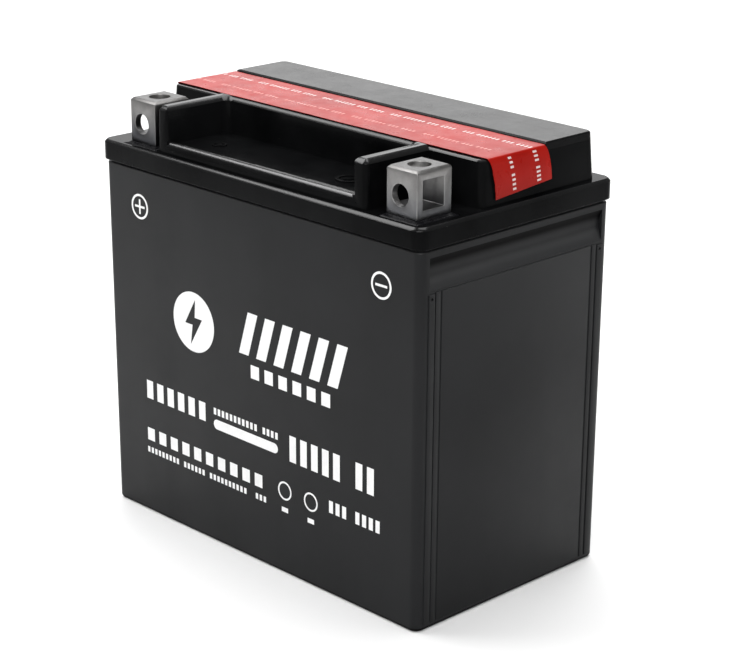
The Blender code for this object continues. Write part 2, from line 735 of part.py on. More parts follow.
def make_separator(cell):
    """The glass-mat sheet that is folded back and forth between the plates of one cell."""
    xs = [CELL_CENTRES[cell] + x for x in layer_centres()["separator"]]
    turn = PLATE_HALF_WIDTH + GAP + SEPARATOR / 2
    points = []
    for fold, x in enumerate(xs):
        ends = (turn, -turn) if fold % 2 else (-turn, turn)
        points += [(x, y, SEPARATOR_BOTTOM) for y in ends]
    height = SEPARATOR_TOP - SEPARATOR_BOTTOM
    name = f"separator_{cell + 1}"
    swept_sheet(name, points, (0.0, 0.0, height), SEPARATOR, GLASS_MAT)


def make_weld(cell):
    """The lead weld that joins two cells through the partition between them."""
    bm = bmesh.new()
    add_rod(bm, weld_place(cell), WELD_RADIUS, PARTITION, "X", SMALL_SIDES)
    smooth(make(f"intercell_weld_{cell + 1}", bm, parts, CAST_LEAD))


clear_scene()
parts = new_collection("motorcycle_battery")
tools = new_collection("cutters")

make_container()
make_cover()
make_vent_cover()
make_foil()
make_flame_arrestor()
for polarity, terminal_x in (("positive", POSITIVE_X), ("negative", NEGATIVE_X)):
    make_terminal(f"terminal_{polarity}", terminal_x)
    make_terminal_seal(f"terminal_seal_{polarity}", terminal_x)
for cell_index in range(CELLS):
    number = cell_index + 1
    make_valve(cell_index)
    make_plate_group(f"positive_group_{number}", cell_index, "positive", POSITIVE_PASTE)
    make_plate_group(f"negative_group_{number}", cell_index, "negative", NEGATIVE_PASTE)
    make_separator(cell_index)
for cell_index in range(CELLS - 1):
    make_weld(cell_index)
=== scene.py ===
"""The looks of a sealed motorcycle battery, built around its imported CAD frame.

X runs along the long side, Y from the terminal side to the back, and Z is up, in metres.
"""

import math

import bmesh
import bpy
from mathutils import Matrix, Vector, noise


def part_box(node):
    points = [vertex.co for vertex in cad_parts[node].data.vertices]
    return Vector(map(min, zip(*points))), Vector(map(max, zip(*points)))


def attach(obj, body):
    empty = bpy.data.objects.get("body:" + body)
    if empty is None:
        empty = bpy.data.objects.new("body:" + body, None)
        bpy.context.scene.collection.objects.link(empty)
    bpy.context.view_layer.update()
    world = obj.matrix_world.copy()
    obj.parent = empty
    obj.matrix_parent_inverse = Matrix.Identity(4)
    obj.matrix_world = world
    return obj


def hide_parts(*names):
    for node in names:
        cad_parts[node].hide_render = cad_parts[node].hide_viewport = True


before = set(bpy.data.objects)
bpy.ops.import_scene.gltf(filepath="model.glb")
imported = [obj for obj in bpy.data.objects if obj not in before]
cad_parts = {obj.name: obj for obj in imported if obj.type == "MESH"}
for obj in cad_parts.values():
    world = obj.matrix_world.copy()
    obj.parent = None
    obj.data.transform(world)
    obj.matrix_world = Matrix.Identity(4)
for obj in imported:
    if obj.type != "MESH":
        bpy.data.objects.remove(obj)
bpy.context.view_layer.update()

MM = 0.001
BODY = "battery"
GAP = 0.3 * MM  # clearance between neighbouring pieces
SLACK = 1.0 * MM  # how far a cutter runs past the face it cuts through
HAIR = 0.02 * MM  # what keeps apart two faces that would otherwise fall together

COVER_LOW, COVER_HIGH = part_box("cover")
FOIL_LOW, FOIL_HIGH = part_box("foil_seal")
VENT_PLATE_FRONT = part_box("vent_cover")[0].y
TOP = COVER_HIGH.z

# Container
CASE_HALF_X = 74.2 * MM
CASE_HALF_Y = 42.3 * MM
CASE_TOP = 121.9 * MM  # a little under the rim, which leaves a dark seam
CASE_DRAFT = 0.4 * MM
CASE_CORNER = 3.0 * MM
CASE_TOP_ROUND = 0.35 * MM
CASE_FOOT_ROUND = 1.5 * MM
CASE_WALL = 3.0 * MM
NECK_INSET = 0.7 * MM  # how much narrower the case is inside the rim
CELLS = 6
CELL_WIDTH = 22.4 * MM
CELL_PITCH = 24.0 * MM
CELL_CENTRES = [(cell - (CELLS - 1) / 2) * CELL_PITCH for cell in range(CELLS)]
RELIEF_TOP = 109.0 * MM
RELIEF_BASE = 2.0 * MM
PANEL_HALF = 33.3 * MM
PANEL_PROUD = 0.25 * MM
STRIP = (34.0 * MM, 35.9 * MM)  # its near and its far side, from the middle of the end
RIB = (36.4 * MM, 38.8 * MM)
RIB_PROUD = 0.4 * MM
RIB_DIMPLE = (37.6 * MM, 107.2 * MM, 0.45 * MM)  # y, z and radius
RELIEF_ROUND = 0.6  # width of its rounded edges, for a relief that stands 1 proud
COVE_LOW = 109.7 * MM
COVE_HIGH = 119.8 * MM
COVE_DEPTH = 1.2 * MM
COVE_HALF = 38.5 * MM

# Cover
RIM_BOTTOM = COVER_LOW.z
RIM_TOP = 129.5 * MM
RIM_CORNER = 4.0 * MM
RIM_ROUND = 1.0 * MM
RIM_BASE_ROUND = 0.3 * MM
DECK_UNDERSIDE = 127.3 * MM
BLOCK_HALF = 72.3 * MM
BLOCK_FRONT = -15.2 * MM
BLOCK_BACK = 37.0 * MM
BLOCK_LEAN = 0.9 * MM
BLOCK_CORNER = 2.5 * MM
TOP_ROUND = 1.5 * MM
ARM_TOP = 144.9 * MM
ARM_FRONT = -41.0 * MM
ARM_LEFT = -47.8 * MM
ARM_RIGHT = 50.0 * MM
ARM_LEAN = 0.3 * MM
ARM_CORNER = 1.8 * MM
TRAY_LEFT = -42.7 * MM
TRAY_RIGHT = 44.3 * MM
TRAY_BACK = -15.0 * MM
TRAY_CORNER = 2.5 * MM
TRAY_FLOOR = 132.6 * MM
TRAY_STEP = 0.15 * MM  # how far the floor keeps from the tray's walls
LIP_TOP = 133.5 * MM  # a little above the CAD's
LIP_BACK = -39.2 * MM
LIP_ROUND = 1.3 * MM
LIP_STEPS = ((-1.9 * MM, 0.5 * MM), (22.5 * MM, 1.0 * MM))  # where the lip widens, and by how much
LIP_GLOSS = 7.0  # how much glossier the lip's top is than the cover's other tops
ARM_INNER_ROUND = 1.5 * MM
BOSS_HEIGHT = 0.4 * MM
BOSSES = ((28.6 * MM, -27.6 * MM, 4.2 * MM), (-30.6 * MM, -28.9 * MM, 2.4 * MM))  # x, y and radius
BOSS_HOLLOW = (0.75, 0.2)  # its radius and its floor's height, for a boss of radius and height 1
BOSS_PIN = 0.4  # its radius, for a boss of radius 1
SHELL = 2.0 * MM  # wall thickness
BLOCK_SLOPE = BLOCK_LEAN / (TOP - RIM_TOP + SHELL / 2)  # how far its sides move in per metre up
CHANNEL_FRONT = -14.0 * MM  # a little before the CAD's, which leaves a dark gap beside the foil
CHANNEL_BACK = 13.5 * MM
PORT_DECK = 144.0 * MM
PORT_RADIUS = 5.5 * MM
PORT_TUBE_RADIUS = 7.2 * MM
PORT_TUBE_BOTTOM = 133.0 * MM
PORT_Y = (FOIL_LOW.y + FOIL_HIGH.y) / 2
VENT_SEAT = 142.4 * MM
VENT_FLOOR = 135.5 * MM
VENT_HALF = 69.2 * MM
VENT_FRONT = 15.9 * MM
VENT_BACK = 34.4 * MM
VENT_EXIT_RADIUS = 1.2 * MM
VENT_ROUND = 0.5 * MM
SEAM = 0.06 * MM  # the weld line under the plate

# Terminals
LUG_X = 12.5 * MM
LUG_Y = 14.3 * MM
LUG_FRONT = -39.7 * MM
LUG_BOTTOM = 130.4 * MM
LUG_CHAMFER = 0.8 * MM
LUG_EDGE = 0.18 * MM  # the rounding of every other edge
LUG_CENTRES = {"positive": -56.3 * MM, "negative": 63.6 * MM}
LUG_Y_CENTRE = LUG_FRONT + LUG_Y / 2
SLOT_LOW = 133.0 * MM
SLOT_HIGH = 142.0 * MM
SLOT_FRONT_WALL = 2.4 * MM
SLOT_BACK_WALL = 3.1 * MM
FRONT_HOLE = (-0.7 * MM, 136.7 * MM, 3.4 * MM)  # place from the middle, height and radius
TOP_HOLE_RADIUS = 3.5 * MM
STUB_RADIUS = 4.5 * MM
RESIN_STEPS = 44
RESIN_SINK = 0.25 * MM  # how far the skin lies under the seal's top
RESIN_CLIMB = 0.6 * MM  # how far it is drawn up against the lead
RESIN_REACH = 0.5 * MM  # how far from the lead it still climbs
RESIN_PEAK = 0.45 * MM  # the most that it stands above the seal's top
RESIN_RIPPLE = 0.10 * MM
RESIN_RIPPLES = 420  # to the metre
RESIN_DROP = 0.5 * MM  # how far the skin falls at its outline
RESIN_DROP_WIDTH = 0.04  # where it starts to fall, for a seal of half width 1

# Printed marks on the container's front, as x and z
PRINT = 0.03 * MM  # how far the ink stands proud
POLARITY_MARKS = ((-56.1 * MM, 109.4 * MM, True), (58.0 * MM, 108.7 * MM, False))  # true for a plus
POLARITY_RING = (4.3 * MM, 0.75 * MM)  # radius and line
POLARITY_BAR = (2.5 * MM, 0.38 * MM)  # half its length and half its width
BADGE = (-29.6 * MM, 75.6 * MM, 10.3 * MM)  # x, z and radius
BOLT = ((0.10, 0.78), (-0.42, -0.10), (-0.06, -0.10), (-0.16, -0.78), (0.42, 0.16), (0.06, 0.16))
STRIPE_WIDTH = 4.6 * MM
STRIPES = [(-7.0 + 8.3 * i) * MM for i in range(6)]
STRIPE_HEIGHTS = (71.0 * MM, 85.6 * MM)
STRIPE_SLANT = 4.6 * MM
PILL = (-20.4 * MM, 11.2 * MM, 41.0 * MM, 44.4 * MM)
RINGS = ((14.3 * MM, 29.3 * MM), (26.6 * MM, 29.3 * MM))
RING = (3.2 * MM, 0.6 * MM)  # radius and line
RING_BAR = (1.5 * MM, -7.4 * MM, -5.8 * MM)  # half length, and heights from the ring's middle
BLOCK_FILL = 0.60  # a block's width, for blocks that are 1 apart
# Left and right end, heights, number of blocks, and the blocks that are left out
BLOCK_ROWS = (
    (-1.4 * MM, 38.4 * MM, 63.7 * MM, 68.2 * MM, 6),
    (-55.4 * MM, -22.4 * MM, 42.2 * MM, 48.7 * MM, 6),
    (-20.3 * MM, 12.0 * MM, 46.0 * MM, 48.3 * MM, 16, (11,)),
    (16.8 * MM, 57.2 * MM, 40.3 * MM, 49.2 * MM, 8, (5,)),
    (-55.7 * MM, 5.9 * MM, 26.8 * MM, 31.3 * MM, 10),
    (-55.9 * MM, 5.9 * MM, 22.3 * MM, 24.3 * MM, 32, (9, 16, 27, 28)),
    (35.1 * MM, 59.0 * MM, 28.5 * MM, 32.6 * MM, 8, (3,)),
)

# Foil: a strip with printed dashes, bent down over both ends
FOIL_THICKNESS = 0.12 * MM
FOIL_SINK = 0.12 * MM  # how far the strip lies under the CAD's top, as room for its waves
FOIL_BEND = 0.7 * MM
FOIL_STEPS = 90
FOIL_STEPS_ACROSS = 28
FOIL_WAVE = 0.10 * MM
FOIL_WAVES = (55, 80)  # to the metre, along and across
FOIL_RIPPLE = 0.08  # height of the ripples, for waves of height 1
FOIL_RIPPLES = (230, 280)
FOIL_EDGE = 0.05 * MM
FOIL_RAGGED = 0.16 * MM
FOIL_NICKS = 400  # to the metre, along its ragged front edge
FLAP_STEPS = 8
FLAP_STAND_OFF = 0.45 * MM  # how far the flaps stand off the block's ends
FLAP_FRONT_CUT = 3.0 * MM
FLAP_BACK_SPREAD = 2.5 * MM
FLAP_SLANT = 2.2 * MM
FLAP_BULGE = 0.35 * MM
FOIL_INK = 0.02 * MM
FOIL_PRINT_LIFT = 0.09 * MM
FOIL_FRONT_ROW = (0.33, 0.028)  # a row's place across the foil, and half its height
FOIL_BACK_ROW = (0.77, 0.034)
# Places along the foil are counted in steps of its path
FOIL_WORDS = ((4, 0.7), (3, 0.7), (6, 0.7), (3, 2.0))  # dashes in a group, and the space after it
FOIL_DASH = 0.48
FOIL_PITCH = 1.0
FOIL_SHIFT = 4.0  # how much later the front row starts
FLAP_MARGIN = 0.7

# Looks of the inner nodes by the start of their names: a material's name, dark and light colour,
# roughness, grains to the metre, relief in millimetres and metallic
INNER_LOOKS = {
    "positive_group": (
        "positive_paste", (0.075, 0.03, 0.018), (0.16, 0.07, 0.04), 0.85, 500.0, 0.08, 0.0
    ),
    "negative_group": (
        "negative_paste", (0.20, 0.21, 0.22), (0.33, 0.34, 0.35), 0.75, 500.0, 0.08, 0.2
    ),
    "separator": (
        "glass_mat", (0.70, 0.70, 0.67), (0.86, 0.86, 0.84), 0.95, 1600.0, 0.05, 0.0
    ),
    "intercell_weld": (
        "weld_lead", (0.30, 0.30, 0.31), (0.46, 0.46, 0.47), 0.45, 700.0, 0.05, 1.0
    ),
    "safety_valve": (
        "valve_rubber", (0.012, 0.012, 0.012), (0.024, 0.024, 0.024), 0.75, 900.0, 0.02, 0.0
    ),
    "flame_arrestor": (
        "porous_disc", (0.55, 0.54, 0.50), (0.80, 0.79, 0.74), 0.92, 2600.0, 0.06, 0.0
    ),
}

# Camera, worked out for the angle that the object is seen from
CAMERA_AZIMUTH = math.radians(45.674)
CAMERA_ELEVATION = math.radians(19.061)
CAMERA_ROLL = math.radians(0.363)
CAMERA_DISTANCE = 0.710793
CAMERA_AIM_HEIGHT = 72.0 * MM
CAMERA_ASIDE = 8.542 * MM
CAMERA_RAISE = -2.624 * MM
CAMERA_LENS = 102.93
SENSOR = 36.0

WORLD_STRENGTH = 0.22
LIGHT_AIM = (0.0, 0.0, 0.10)
# Name, place, aim (LIGHT_AIM if none), size in metres and power in watts
LIGHTS = (
    ("overhead", (0.10, 0.15, 0.95), None, (0.6, 0.6), 4.5),
    ("key", (0.70, -0.85, 0.85), None, (0.8, 0.8), 13.0),
    ("left_side", (-0.46, -0.29, 0.80), None, (0.46, 0.46), 4.2),
    ("back_left", (-0.74, 0.76, 0.50), None, (1.0, 0.5), 2.8),
    ("backdrop", (-1.0, 1.0, 1.6), (-0.9, 0.9, 0.0), (1.6, 1.6), 26.0),
)

# Roundings
TOP_PROFILE = 0.31  # a moulded top edge as a bevel, where 0.25 is a chamfer and 0.5 a true round
FULLNESS = 0.35  # the same edge as a curve, where 0 is a chamfer and 1 a true round
CORNER_STEPS = 8
ROUND_STEPS = 5
SIDES = 64

pieces = bpy.data.collections.new("battery_looks")
bpy.context.scene.collection.children.link(pieces)


# ---------------- mesh tools


def bevel(bm, edges, width, steps, profile=0.5):
    """Rounds the edges. A profile of 0.5 is a true round, and 0.25 a flat chamfer."""
    bmesh.ops.bevel(
        bm,
        geom=edges,
        offset=width,
        offset_type="OFFSET",
        segments=steps,
        profile=profile,
        affect="EDGES",
        clamp_overlap=False,
    )


def edges_at_height(bm, height):
    """The sharp edges that lie level at one height."""
    level = [e for e in bm.edges if all(abs(v.co.z - height) < HAIR for v in e.verts)]
    return [e for e in level if e.calc_face_angle(0.0) > math.radians(30)]


def add_block(bm, low, high, lean=0.0, corner=0.0, corners="all", round_top=0.0, round_base=0.0):
    """Adds a box between two corners.

    Lean is how far each upright side moves in from base to top, or out if it is negative. Corner
    rounds the upright edges: all of them, or only those at the front or the back.
    """
    low, high = Vector(low), Vector(high)
    centre, size = (low + high) / 2, high - low
    place = Matrix.Translation(centre) @ Matrix.Diagonal((*size, 1.0))
    verts = bmesh.ops.create_cube(bm, size=1.0, matrix=place)["verts"]
    for vert in verts:
        if vert.co.z > centre.z:
            vert.co.x -= lean * math.copysign(1.0, vert.co.x - centre.x)
            vert.co.y -= lean * math.copysign(1.0, vert.co.y - centre.y)
    edges = {edge for vert in verts for edge in vert.link_edges}

    def chosen(edge):
        ends = [vert.co for vert in edge.verts]
        upright = abs(ends[0].z - ends[1].z) > size.z / 2
        at_back = ends[0].y > centre.y
        return upright and (corners == "all" or at_back == (corners == "back"))

    if corner:
        bevel(bm, [edge for edge in edges if chosen(edge)], corner, CORNER_STEPS)
    if round_top:
        bevel(bm, edges_at_height(bm, high.z), round_top, ROUND_STEPS, TOP_PROFILE)
    if round_base:
        bevel(bm, edges_at_height(bm, low.z), round_base, ROUND_STEPS)
    return verts


def add_rod(bm, centre, radius, length, axis="Z", sides=SIDES):
    """Adds a cylinder about a centre, along one axis."""
    turn = {"X": Matrix.Rotation(math.pi / 2, 4, "Y"), "Y": Matrix.Rotation(math.pi / 2, 4, "X")}
    bmesh.ops.create_cone(
        bm,
        cap_ends=True,
        segments=sides,
        radius1=radius,
        radius2=radius,
        depth=length,
        matrix=Matrix.Translation(centre) @ turn.get(axis, Matrix.Identity(4)),
    )


def add_upright(bm, x, y, radius, low, high, sides=SIDES):
    """Adds an upright cylinder between two heights."""
    add_rod(bm, (x, y, (low + high) / 2), radius, high - low, "Z", sides)


def add_prism(bm, outline, low, high, axis=2):
    """Adds a prism along an axis, with an outline of points across it."""
    ends = []
    for level in (low, high):
        spots = [[*point[:axis], level, *point[axis:]] for point in outline]
        ends.append([bm.verts.new(spot) for spot in spots])
    near, far = ends
    bm.faces.new(near[::-1])
    bm.faces.new(far)
    count = len(outline)
    for i in range(count):
        j = (i + 1) % count
        bm.faces.new((near[i], near[j], far[j], far[i]))


def quarter(steps=CORNER_STEPS):
    """The sine and cosine of each step of a quarter turn."""
    turns = [math.pi / 2 * step / steps for step in range(steps + 1)]
    return [(math.sin(turn), math.cos(turn)) for turn in turns]


def face_outward(bm):
    """Turns every face outward."""
    bmesh.ops.recalc_face_normals(bm, faces=bm.faces)


def make(name, bm, material=None):
    """Turns the working mesh into an object."""
    mesh = bpy.data.meshes.new(name)
    bm.to_mesh(mesh)
    bm.free()
    obj = bpy.data.objects.new(name, mesh)
    pieces.objects.link(obj)
    if material:
        mesh.materials.append(material)
    return obj


def settle(obj):
    """Makes the shape that the modifiers give into the piece's own mesh."""
    graph = bpy.context.evaluated_depsgraph_get()
    old = obj.data
    obj.data = bpy.data.meshes.new_from_object(obj.evaluated_get(graph))
    obj.modifiers.clear()
    bpy.data.meshes.remove(old)


def combine(target, operation, bm, solver="EXACT"):
    """Joins the working mesh to a piece, or cuts it away."""
    tool = make("tool", bm)
    modifier = target.modifiers.new("combine", "BOOLEAN")
    modifier.operation = operation
    modifier.solver = solver
    modifier.object = tool
    settle(target)
    bpy.data.objects.remove(tool)


def join(target, add, *where, **shape):
    """Joins a block, rod or upright to a piece."""
    bm = bmesh.new()
    add(bm, *where, **shape)
    combine(target, "UNION", bm)


def cut(target, add, *where, **shape):
    """Cuts a block, rod or upright out of a piece."""
    bm = bmesh.new()
    add(bm, *where, **shape)
    combine(target, "DIFFERENCE", bm)


def soften(obj, width, segments):
    """Rounds every edge that is still sharp, inside and out."""
    modifier = obj.modifiers.new("soften", "BEVEL")
    modifier.width = width
    modifier.segments = segments
    modifier.limit_method = "ANGLE"
    modifier.angle_limit = math.radians(32)
    modifier.use_clamp_overlap = True
    modifier.miter_outer = "MITER_ARC"
    settle(obj)


def smooth(obj, angle=30.0):
    """Shades a piece smooth, with its real edges left sharp."""
    obj.data.shade_smooth()
    obj.data.set_sharp_from_angle(angle=math.radians(angle))


def mark_edges(obj, widest=3.0 * MM):
    """Notes which faces are narrow rounded edges, for the material's wear."""
    mesh = obj.data
    layer = mesh.attributes.new("edge", "FLOAT", "FACE")
    for polygon in mesh.polygons:
        points = [mesh.vertices[i].co for i in polygon.vertices]
        around = sum((a - b).length for a, b in zip(points, points[1:] + points[:1]))
        width = 2 * polygon.area / around if around else 0.0
        layer.data[polygon.index].value = 1.0 if width < widest / 2 else 0.0


def place(obj, slot, *nodes):
    """The piece rides on the battery and stands for its CAD nodes."""
    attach(obj, BODY)
    if nodes:
        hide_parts(*nodes)


# ---------------- materials


class Finish:
    """A Principled material with small helpers for its procedural detail."""

    def __init__(self, name, colour, roughness, metallic=0.0, coat=0.0, specular=0.5):
        self.material = bpy.data.materials.new(name)
        self.material.use_nodes = True
        self.nodes = self.material.node_tree.nodes
        self.links = self.material.node_tree.links
        self.shader = self.nodes["Principled BSDF"]
        self.place = self.nodes.new("ShaderNodeTexCoord").outputs["Object"]
        self.set("Base Color", (*colour, 1.0))
        self.set("Roughness", roughness)
        self.set("Metallic", metallic)
        self.set("Coat Weight", coat)
        self.set("Coat Roughness", 0.08)
        self.set("Specular IOR Level", specular)
        self.relief = None

    def set(self, name, value):
        self.shader.inputs[name].default_value = value

    def stretch(self, scale):
        """The place on the object, stretched."""
        node = self.nodes.new("ShaderNodeMapping")
        node.inputs["Scale"].default_value = scale
        self.links.new(self.place, node.inputs["Vector"])
        return node.outputs["Vector"]

    def noise(self, scale, detail=3.0, roughness=0.5, stretch=None):
        """Cloudy noise with this many features a metre."""
        node = self.nodes.new("ShaderNodeTexNoise")
        node.inputs["Scale"].default_value = scale
        node.inputs["Detail"].default_value = detail
        node.inputs["Roughness"].default_value = roughness
        source = self.stretch(stretch) if stretch else self.place
        self.links.new(source, node.inputs["Vector"])
        return node.outputs["Fac"]

    def range(self, value, low, high, to_low=0.0, to_high=1.0, kind="LINEAR"):
        """A value moved from one range to another."""
        node = self.nodes.new("ShaderNodeMapRange")
        node.interpolation_type = kind
        ends = {"From Min": low, "From Max": high, "To Min": to_low, "To Max": to_high}
        for name, number in ends.items():
            node.inputs[name].default_value = number
        self.links.new(value, node.inputs["Value"])
        return node.outputs["Result"]

    def math(self, operation, a, b=0.0):
        node = self.nodes.new("ShaderNodeMath")
        node.operation = operation
        for socket, value in zip(node.inputs, (a, b)):
            if isinstance(value, (int, float)):
                socket.default_value = value
            else:
                self.links.new(value, socket)
        return node.outputs["Value"]

    def add(self, a, b):
        return self.math("ADD", a, b)

    def times(self, a, b):
        return self.math("MULTIPLY", a, b)

    def axis(self, name):
        """How far along X, Y or Z the place on the object is."""
        split = self.nodes.new("ShaderNodeSeparateXYZ")
        self.links.new(self.place, split.inputs["Vector"])
        return split.outputs[name]

    def mix(self, factor, first, second):
        """A colour between two colours."""
        node = self.nodes.new("ShaderNodeMix")
        node.data_type = "RGBA"
        self.links.new(factor, node.inputs["Factor"])
        for name, colour in (("A", first), ("B", second)):
            socket = next(s for s in node.inputs if s.name == name and s.type == "RGBA")
            if isinstance(colour, tuple):
                socket.default_value = (*colour, 1.0)
            else:
                self.links.new(colour, socket)
        return next(s for s in node.outputs if s.type == "RGBA")

    def attribute(self, name):
        node = self.nodes.new("ShaderNodeAttribute")
        node.attribute_name = name
        return node.outputs["Fac"]

    def upward(self, low, high):
        """How much a face looks up: 0 below the low cosine and 1 above the high one."""
        split = self.nodes.new("ShaderNodeSeparateXYZ")
        geometry = self.nodes.new("ShaderNodeNewGeometry")
        self.links.new(geometry.outputs["Normal"], split.inputs["Vector"])
        return self.range(split.outputs["Z"], low, high, 0.0, 1.0, "SMOOTHSTEP")

    def to(self, name, value):
        self.links.new(value, self.shader.inputs[name])

    def bump(self, height, distance):
        """Adds relief of this many metres."""
        node = self.nodes.new("ShaderNodeBump")
        node.inputs["Distance"].default_value = distance
        self.links.new(height, node.inputs["Height"])
        if self.relief:
            self.links.new(self.relief, node.inputs["Normal"])
        self.relief = node.outputs["Normal"]
        self.to("Normal", self.relief)


def moulded_plastic(name, colour, rough, specular, sheen, rubbed=0.0):
    """Black moulded polypropylene: faint flow clouds, fine grain and scuffs.

    Sheen is how much glossier it is on top, and rubbed how much glossier on its rounded edges.
    """
    finish = Finish(name, colour, rough, specular=specular)
    clouds = finish.range(finish.noise(28.0, 4.0), 0.35, 0.65)
    lighter = tuple(1.5 * c + 0.004 for c in colour)
    darker = tuple(0.8 * c for c in colour)
    base = finish.mix(clouds, darker, lighter)
    dust = finish.range(finish.noise(700.0, 1.0), 0.80, 0.83, 0.0, 1.0, "SMOOTHSTEP")
    finish.to("Base Color", finish.mix(finish.times(dust, 0.12), base, (0.20, 0.20, 0.19)))
    height = finish.axis("Z")
    high = finish.range(height, TRAY_FLOOR + HAIR, LIP_TOP - 3 * HAIR)
    polish = finish.range(height, LIP_TOP + 5 * HAIR, LIP_TOP + GAP, 1.0 + LIP_GLOSS, 1.0)
    up = finish.times(finish.upward(0.3, 0.95), finish.times(high, polish))
    edges = finish.math("SUBTRACT", finish.upward(0.05, 0.45), finish.upward(0.96, 0.995))
    gloss = finish.add(finish.times(up, sheen), finish.times(edges, rubbed))
    finish.to("Specular IOR Level", finish.add(gloss, specular))
    scuffs = finish.noise(90.0, 6.0, 0.7, stretch=(1.0, 1.0, 5.0))
    scuffs = finish.range(scuffs, 0.3, 0.7, -0.03, 0.04)
    fine = finish.range(finish.noise(420.0, 3.0, 0.6), 0.3, 0.7, -0.015, 0.015)
    wear = finish.times(finish.attribute("edge"), 0.04)
    finish.to("Roughness", finish.add(finish.add(finish.add(scuffs, fine), wear), rough))
    finish.bump(finish.noise(2600.0, 2.0, 0.6), 0.002 * MM)
    finish.bump(finish.noise(35.0, 2.0), 0.02 * MM)
    return finish.material


def case_plastic():
    """The container's plastic, with faint upright sink lines where the cell walls meet the sides.

    Faces that look down are painted darker, a painted shade, and faces that look up are painted
    lighter, a painted highlight, and are glossier.
    """
    finish = Finish("case_black", (0.0080, 0.0083, 0.0090), 0.42, specular=0.15)
    clouds = finish.range(finish.noise(22.0, 4.0), 0.35, 0.65)
    base = finish.mix(clouds, (0.0068, 0.0071, 0.0077), (0.0100, 0.0104, 0.0112))
    # painted shade: faces that look down get a near-black colour, and less gloss
    clear_of_painted_shade = finish.upward(-0.30, -0.02)
    base = finish.mix(clear_of_painted_shade, (0.0012, 0.0012, 0.0013), base)
    # painted highlight: faces that look up are painted lighter, and are also made glossier
    painted_light_rising = finish.upward(0.02, 0.26)
    finish.to("Base Color", finish.mix(finish.times(painted_light_rising, 0.8), base, (0.020, 0.0205, 0.0215)))
    gloss = finish.range(clear_of_painted_shade, 0.0, 1.0, 0.02, 0.15)
    finish.to("Specular IOR Level", finish.add(gloss, finish.times(painted_light_rising, 0.35)))
    streaks = finish.noise(60.0, 3.0, 0.6, stretch=(1.0, 1.0, 0.06))
    uneven = finish.range(streaks, 0.3, 0.7, -0.03, 0.03)
    scuffs = finish.range(finish.noise(130.0, 6.0, 0.7), 0.3, 0.7, -0.03, 0.04)
    finish.to("Roughness", finish.add(finish.add(uneven, scuffs), 0.40))
    sinks = finish.math("COSINE", finish.times(finish.axis("X"), math.tau / CELL_PITCH))
    finish.bump(finish.noise(3200.0, 2.0, 0.6), 0.006 * MM)
    finish.bump(sinks, 0.010 * MM)
    finish.bump(streaks, 0.03 * MM)
    return finish.material


def lead():
    """Satin cast lead: soft mottling, brushing, fine pits and brighter edges.

    Its colour is painted lighter higher up, a painted light, and darker towards its foot, most of
    all on the left, and on its top faces, a painted shade.
    """
    finish = Finish("terminal_lead", (0.20, 0.20, 0.20), 0.34, metallic=1.0)
    mottle = finish.noise(260.0, 5.0, 0.65)
    brush = finish.noise(700.0, 3.0, 0.6, stretch=(1.0, 1.0, 0.10))
    # painted light and shade by height: both mottle colours grow darker towards the foot and
    # lighter towards the top
    height = finish.range(finish.axis("Z"), RIM_TOP, TOP, 0.0, 1.0, "SMOOTHSTEP")
    painted_shade_dark_mottle = finish.mix(height, (0.095, 0.098, 0.105), (0.225, 0.220, 0.215))
    bright = finish.mix(height, (0.125, 0.127, 0.132), (0.280, 0.274, 0.268))
    base = finish.mix(finish.range(mottle, 0.35, 0.65), painted_shade_dark_mottle, bright)
    base = finish.mix(finish.times(finish.attribute("edge"), 0.5), base, (0.34, 0.335, 0.33))
    # painted shade: the left terminal's foot is painted darker still
    left = finish.range(finish.axis("X"), 0.0, LUG_CENTRES["positive"], 0.0, 0.75)
    foot = finish.range(height, 0.0, 0.8, 1.0, 0.0)
    base = finish.mix(finish.times(left, foot), base, (0.030, 0.031, 0.036))
    # painted shade: faces that look up are painted darker
    top = finish.times(finish.upward(0.5, 0.98), 0.8)
    finish.to("Base Color", finish.mix(top, base, (0.048, 0.047, 0.047)))
    uneven = finish.range(mottle, 0.3, 0.7, -0.05, 0.06)
    brushed = finish.range(brush, 0.3, 0.7, -0.04, 0.05)
    finish.to("Roughness", finish.add(finish.add(uneven, brushed), 0.36))
    finish.bump(brush, 0.015 * MM)
    finish.bump(finish.noise(1500.0, 3.0, 0.7), 0.02 * MM)
    return finish.material


def poured_resin():
    """Glossy black sealing resin with an uneven skin."""
    finish = Finish("sealing_resin", (0.003, 0.003, 0.004), 0.26, specular=0.10)
    skin = finish.noise(300.0, 3.0)
    finish.to("Base Color", finish.mix(skin, (0.002, 0.002, 0.003), (0.006, 0.006, 0.007)))
    finish.to("Roughness", finish.range(finish.noise(700.0, 2.0), 0.3, 0.7, 0.20, 0.36))
    finish.bump(skin, 0.15 * MM)
    return finish.material


def red_foil():
    """Red lacquered foil: a glossy skin with soft creases and a faint press pattern."""
    finish = Finish("foil_red", (0.30, 0.006, 0.003), 0.28, coat=0.03, specular=0.10)
    clouds = finish.range(finish.noise(60.0, 4.0), 0.35, 0.65)
    finish.to("Base Color", finish.mix(clouds, (0.275, 0.005, 0.002), (0.335, 0.008, 0.004)))
    finish.to("Roughness", finish.range(finish.noise(220.0, 4.0, 0.6), 0.3, 0.7, 0.24, 0.40))
    finish.bump(finish.noise(900.0, 3.0, 0.6), 0.003 * MM)
    finish.bump(finish.noise(70.0, 2.0, 0.4, stretch=(1.0, 1.6, 1.0)), 0.07 * MM)
    return finish.material


def printing_ink(name, colour):
    """Screen-printed ink, a little thin and uneven in places."""
    finish = Finish(name, colour, 0.5)
    thin = tuple(0.94 * c for c in colour)
    patches = finish.range(finish.noise(500.0, 4.0, 0.7), 0.35, 0.6)
    finish.to("Base Color", finish.mix(patches, thin, colour))
    finish.to("Roughness", finish.range(finish.noise(900.0, 2.0), 0.3, 0.7, 0.42, 0.6))
    finish.bump(finish.noise(2400.0, 2.0), 0.01 * MM)
    return finish.material


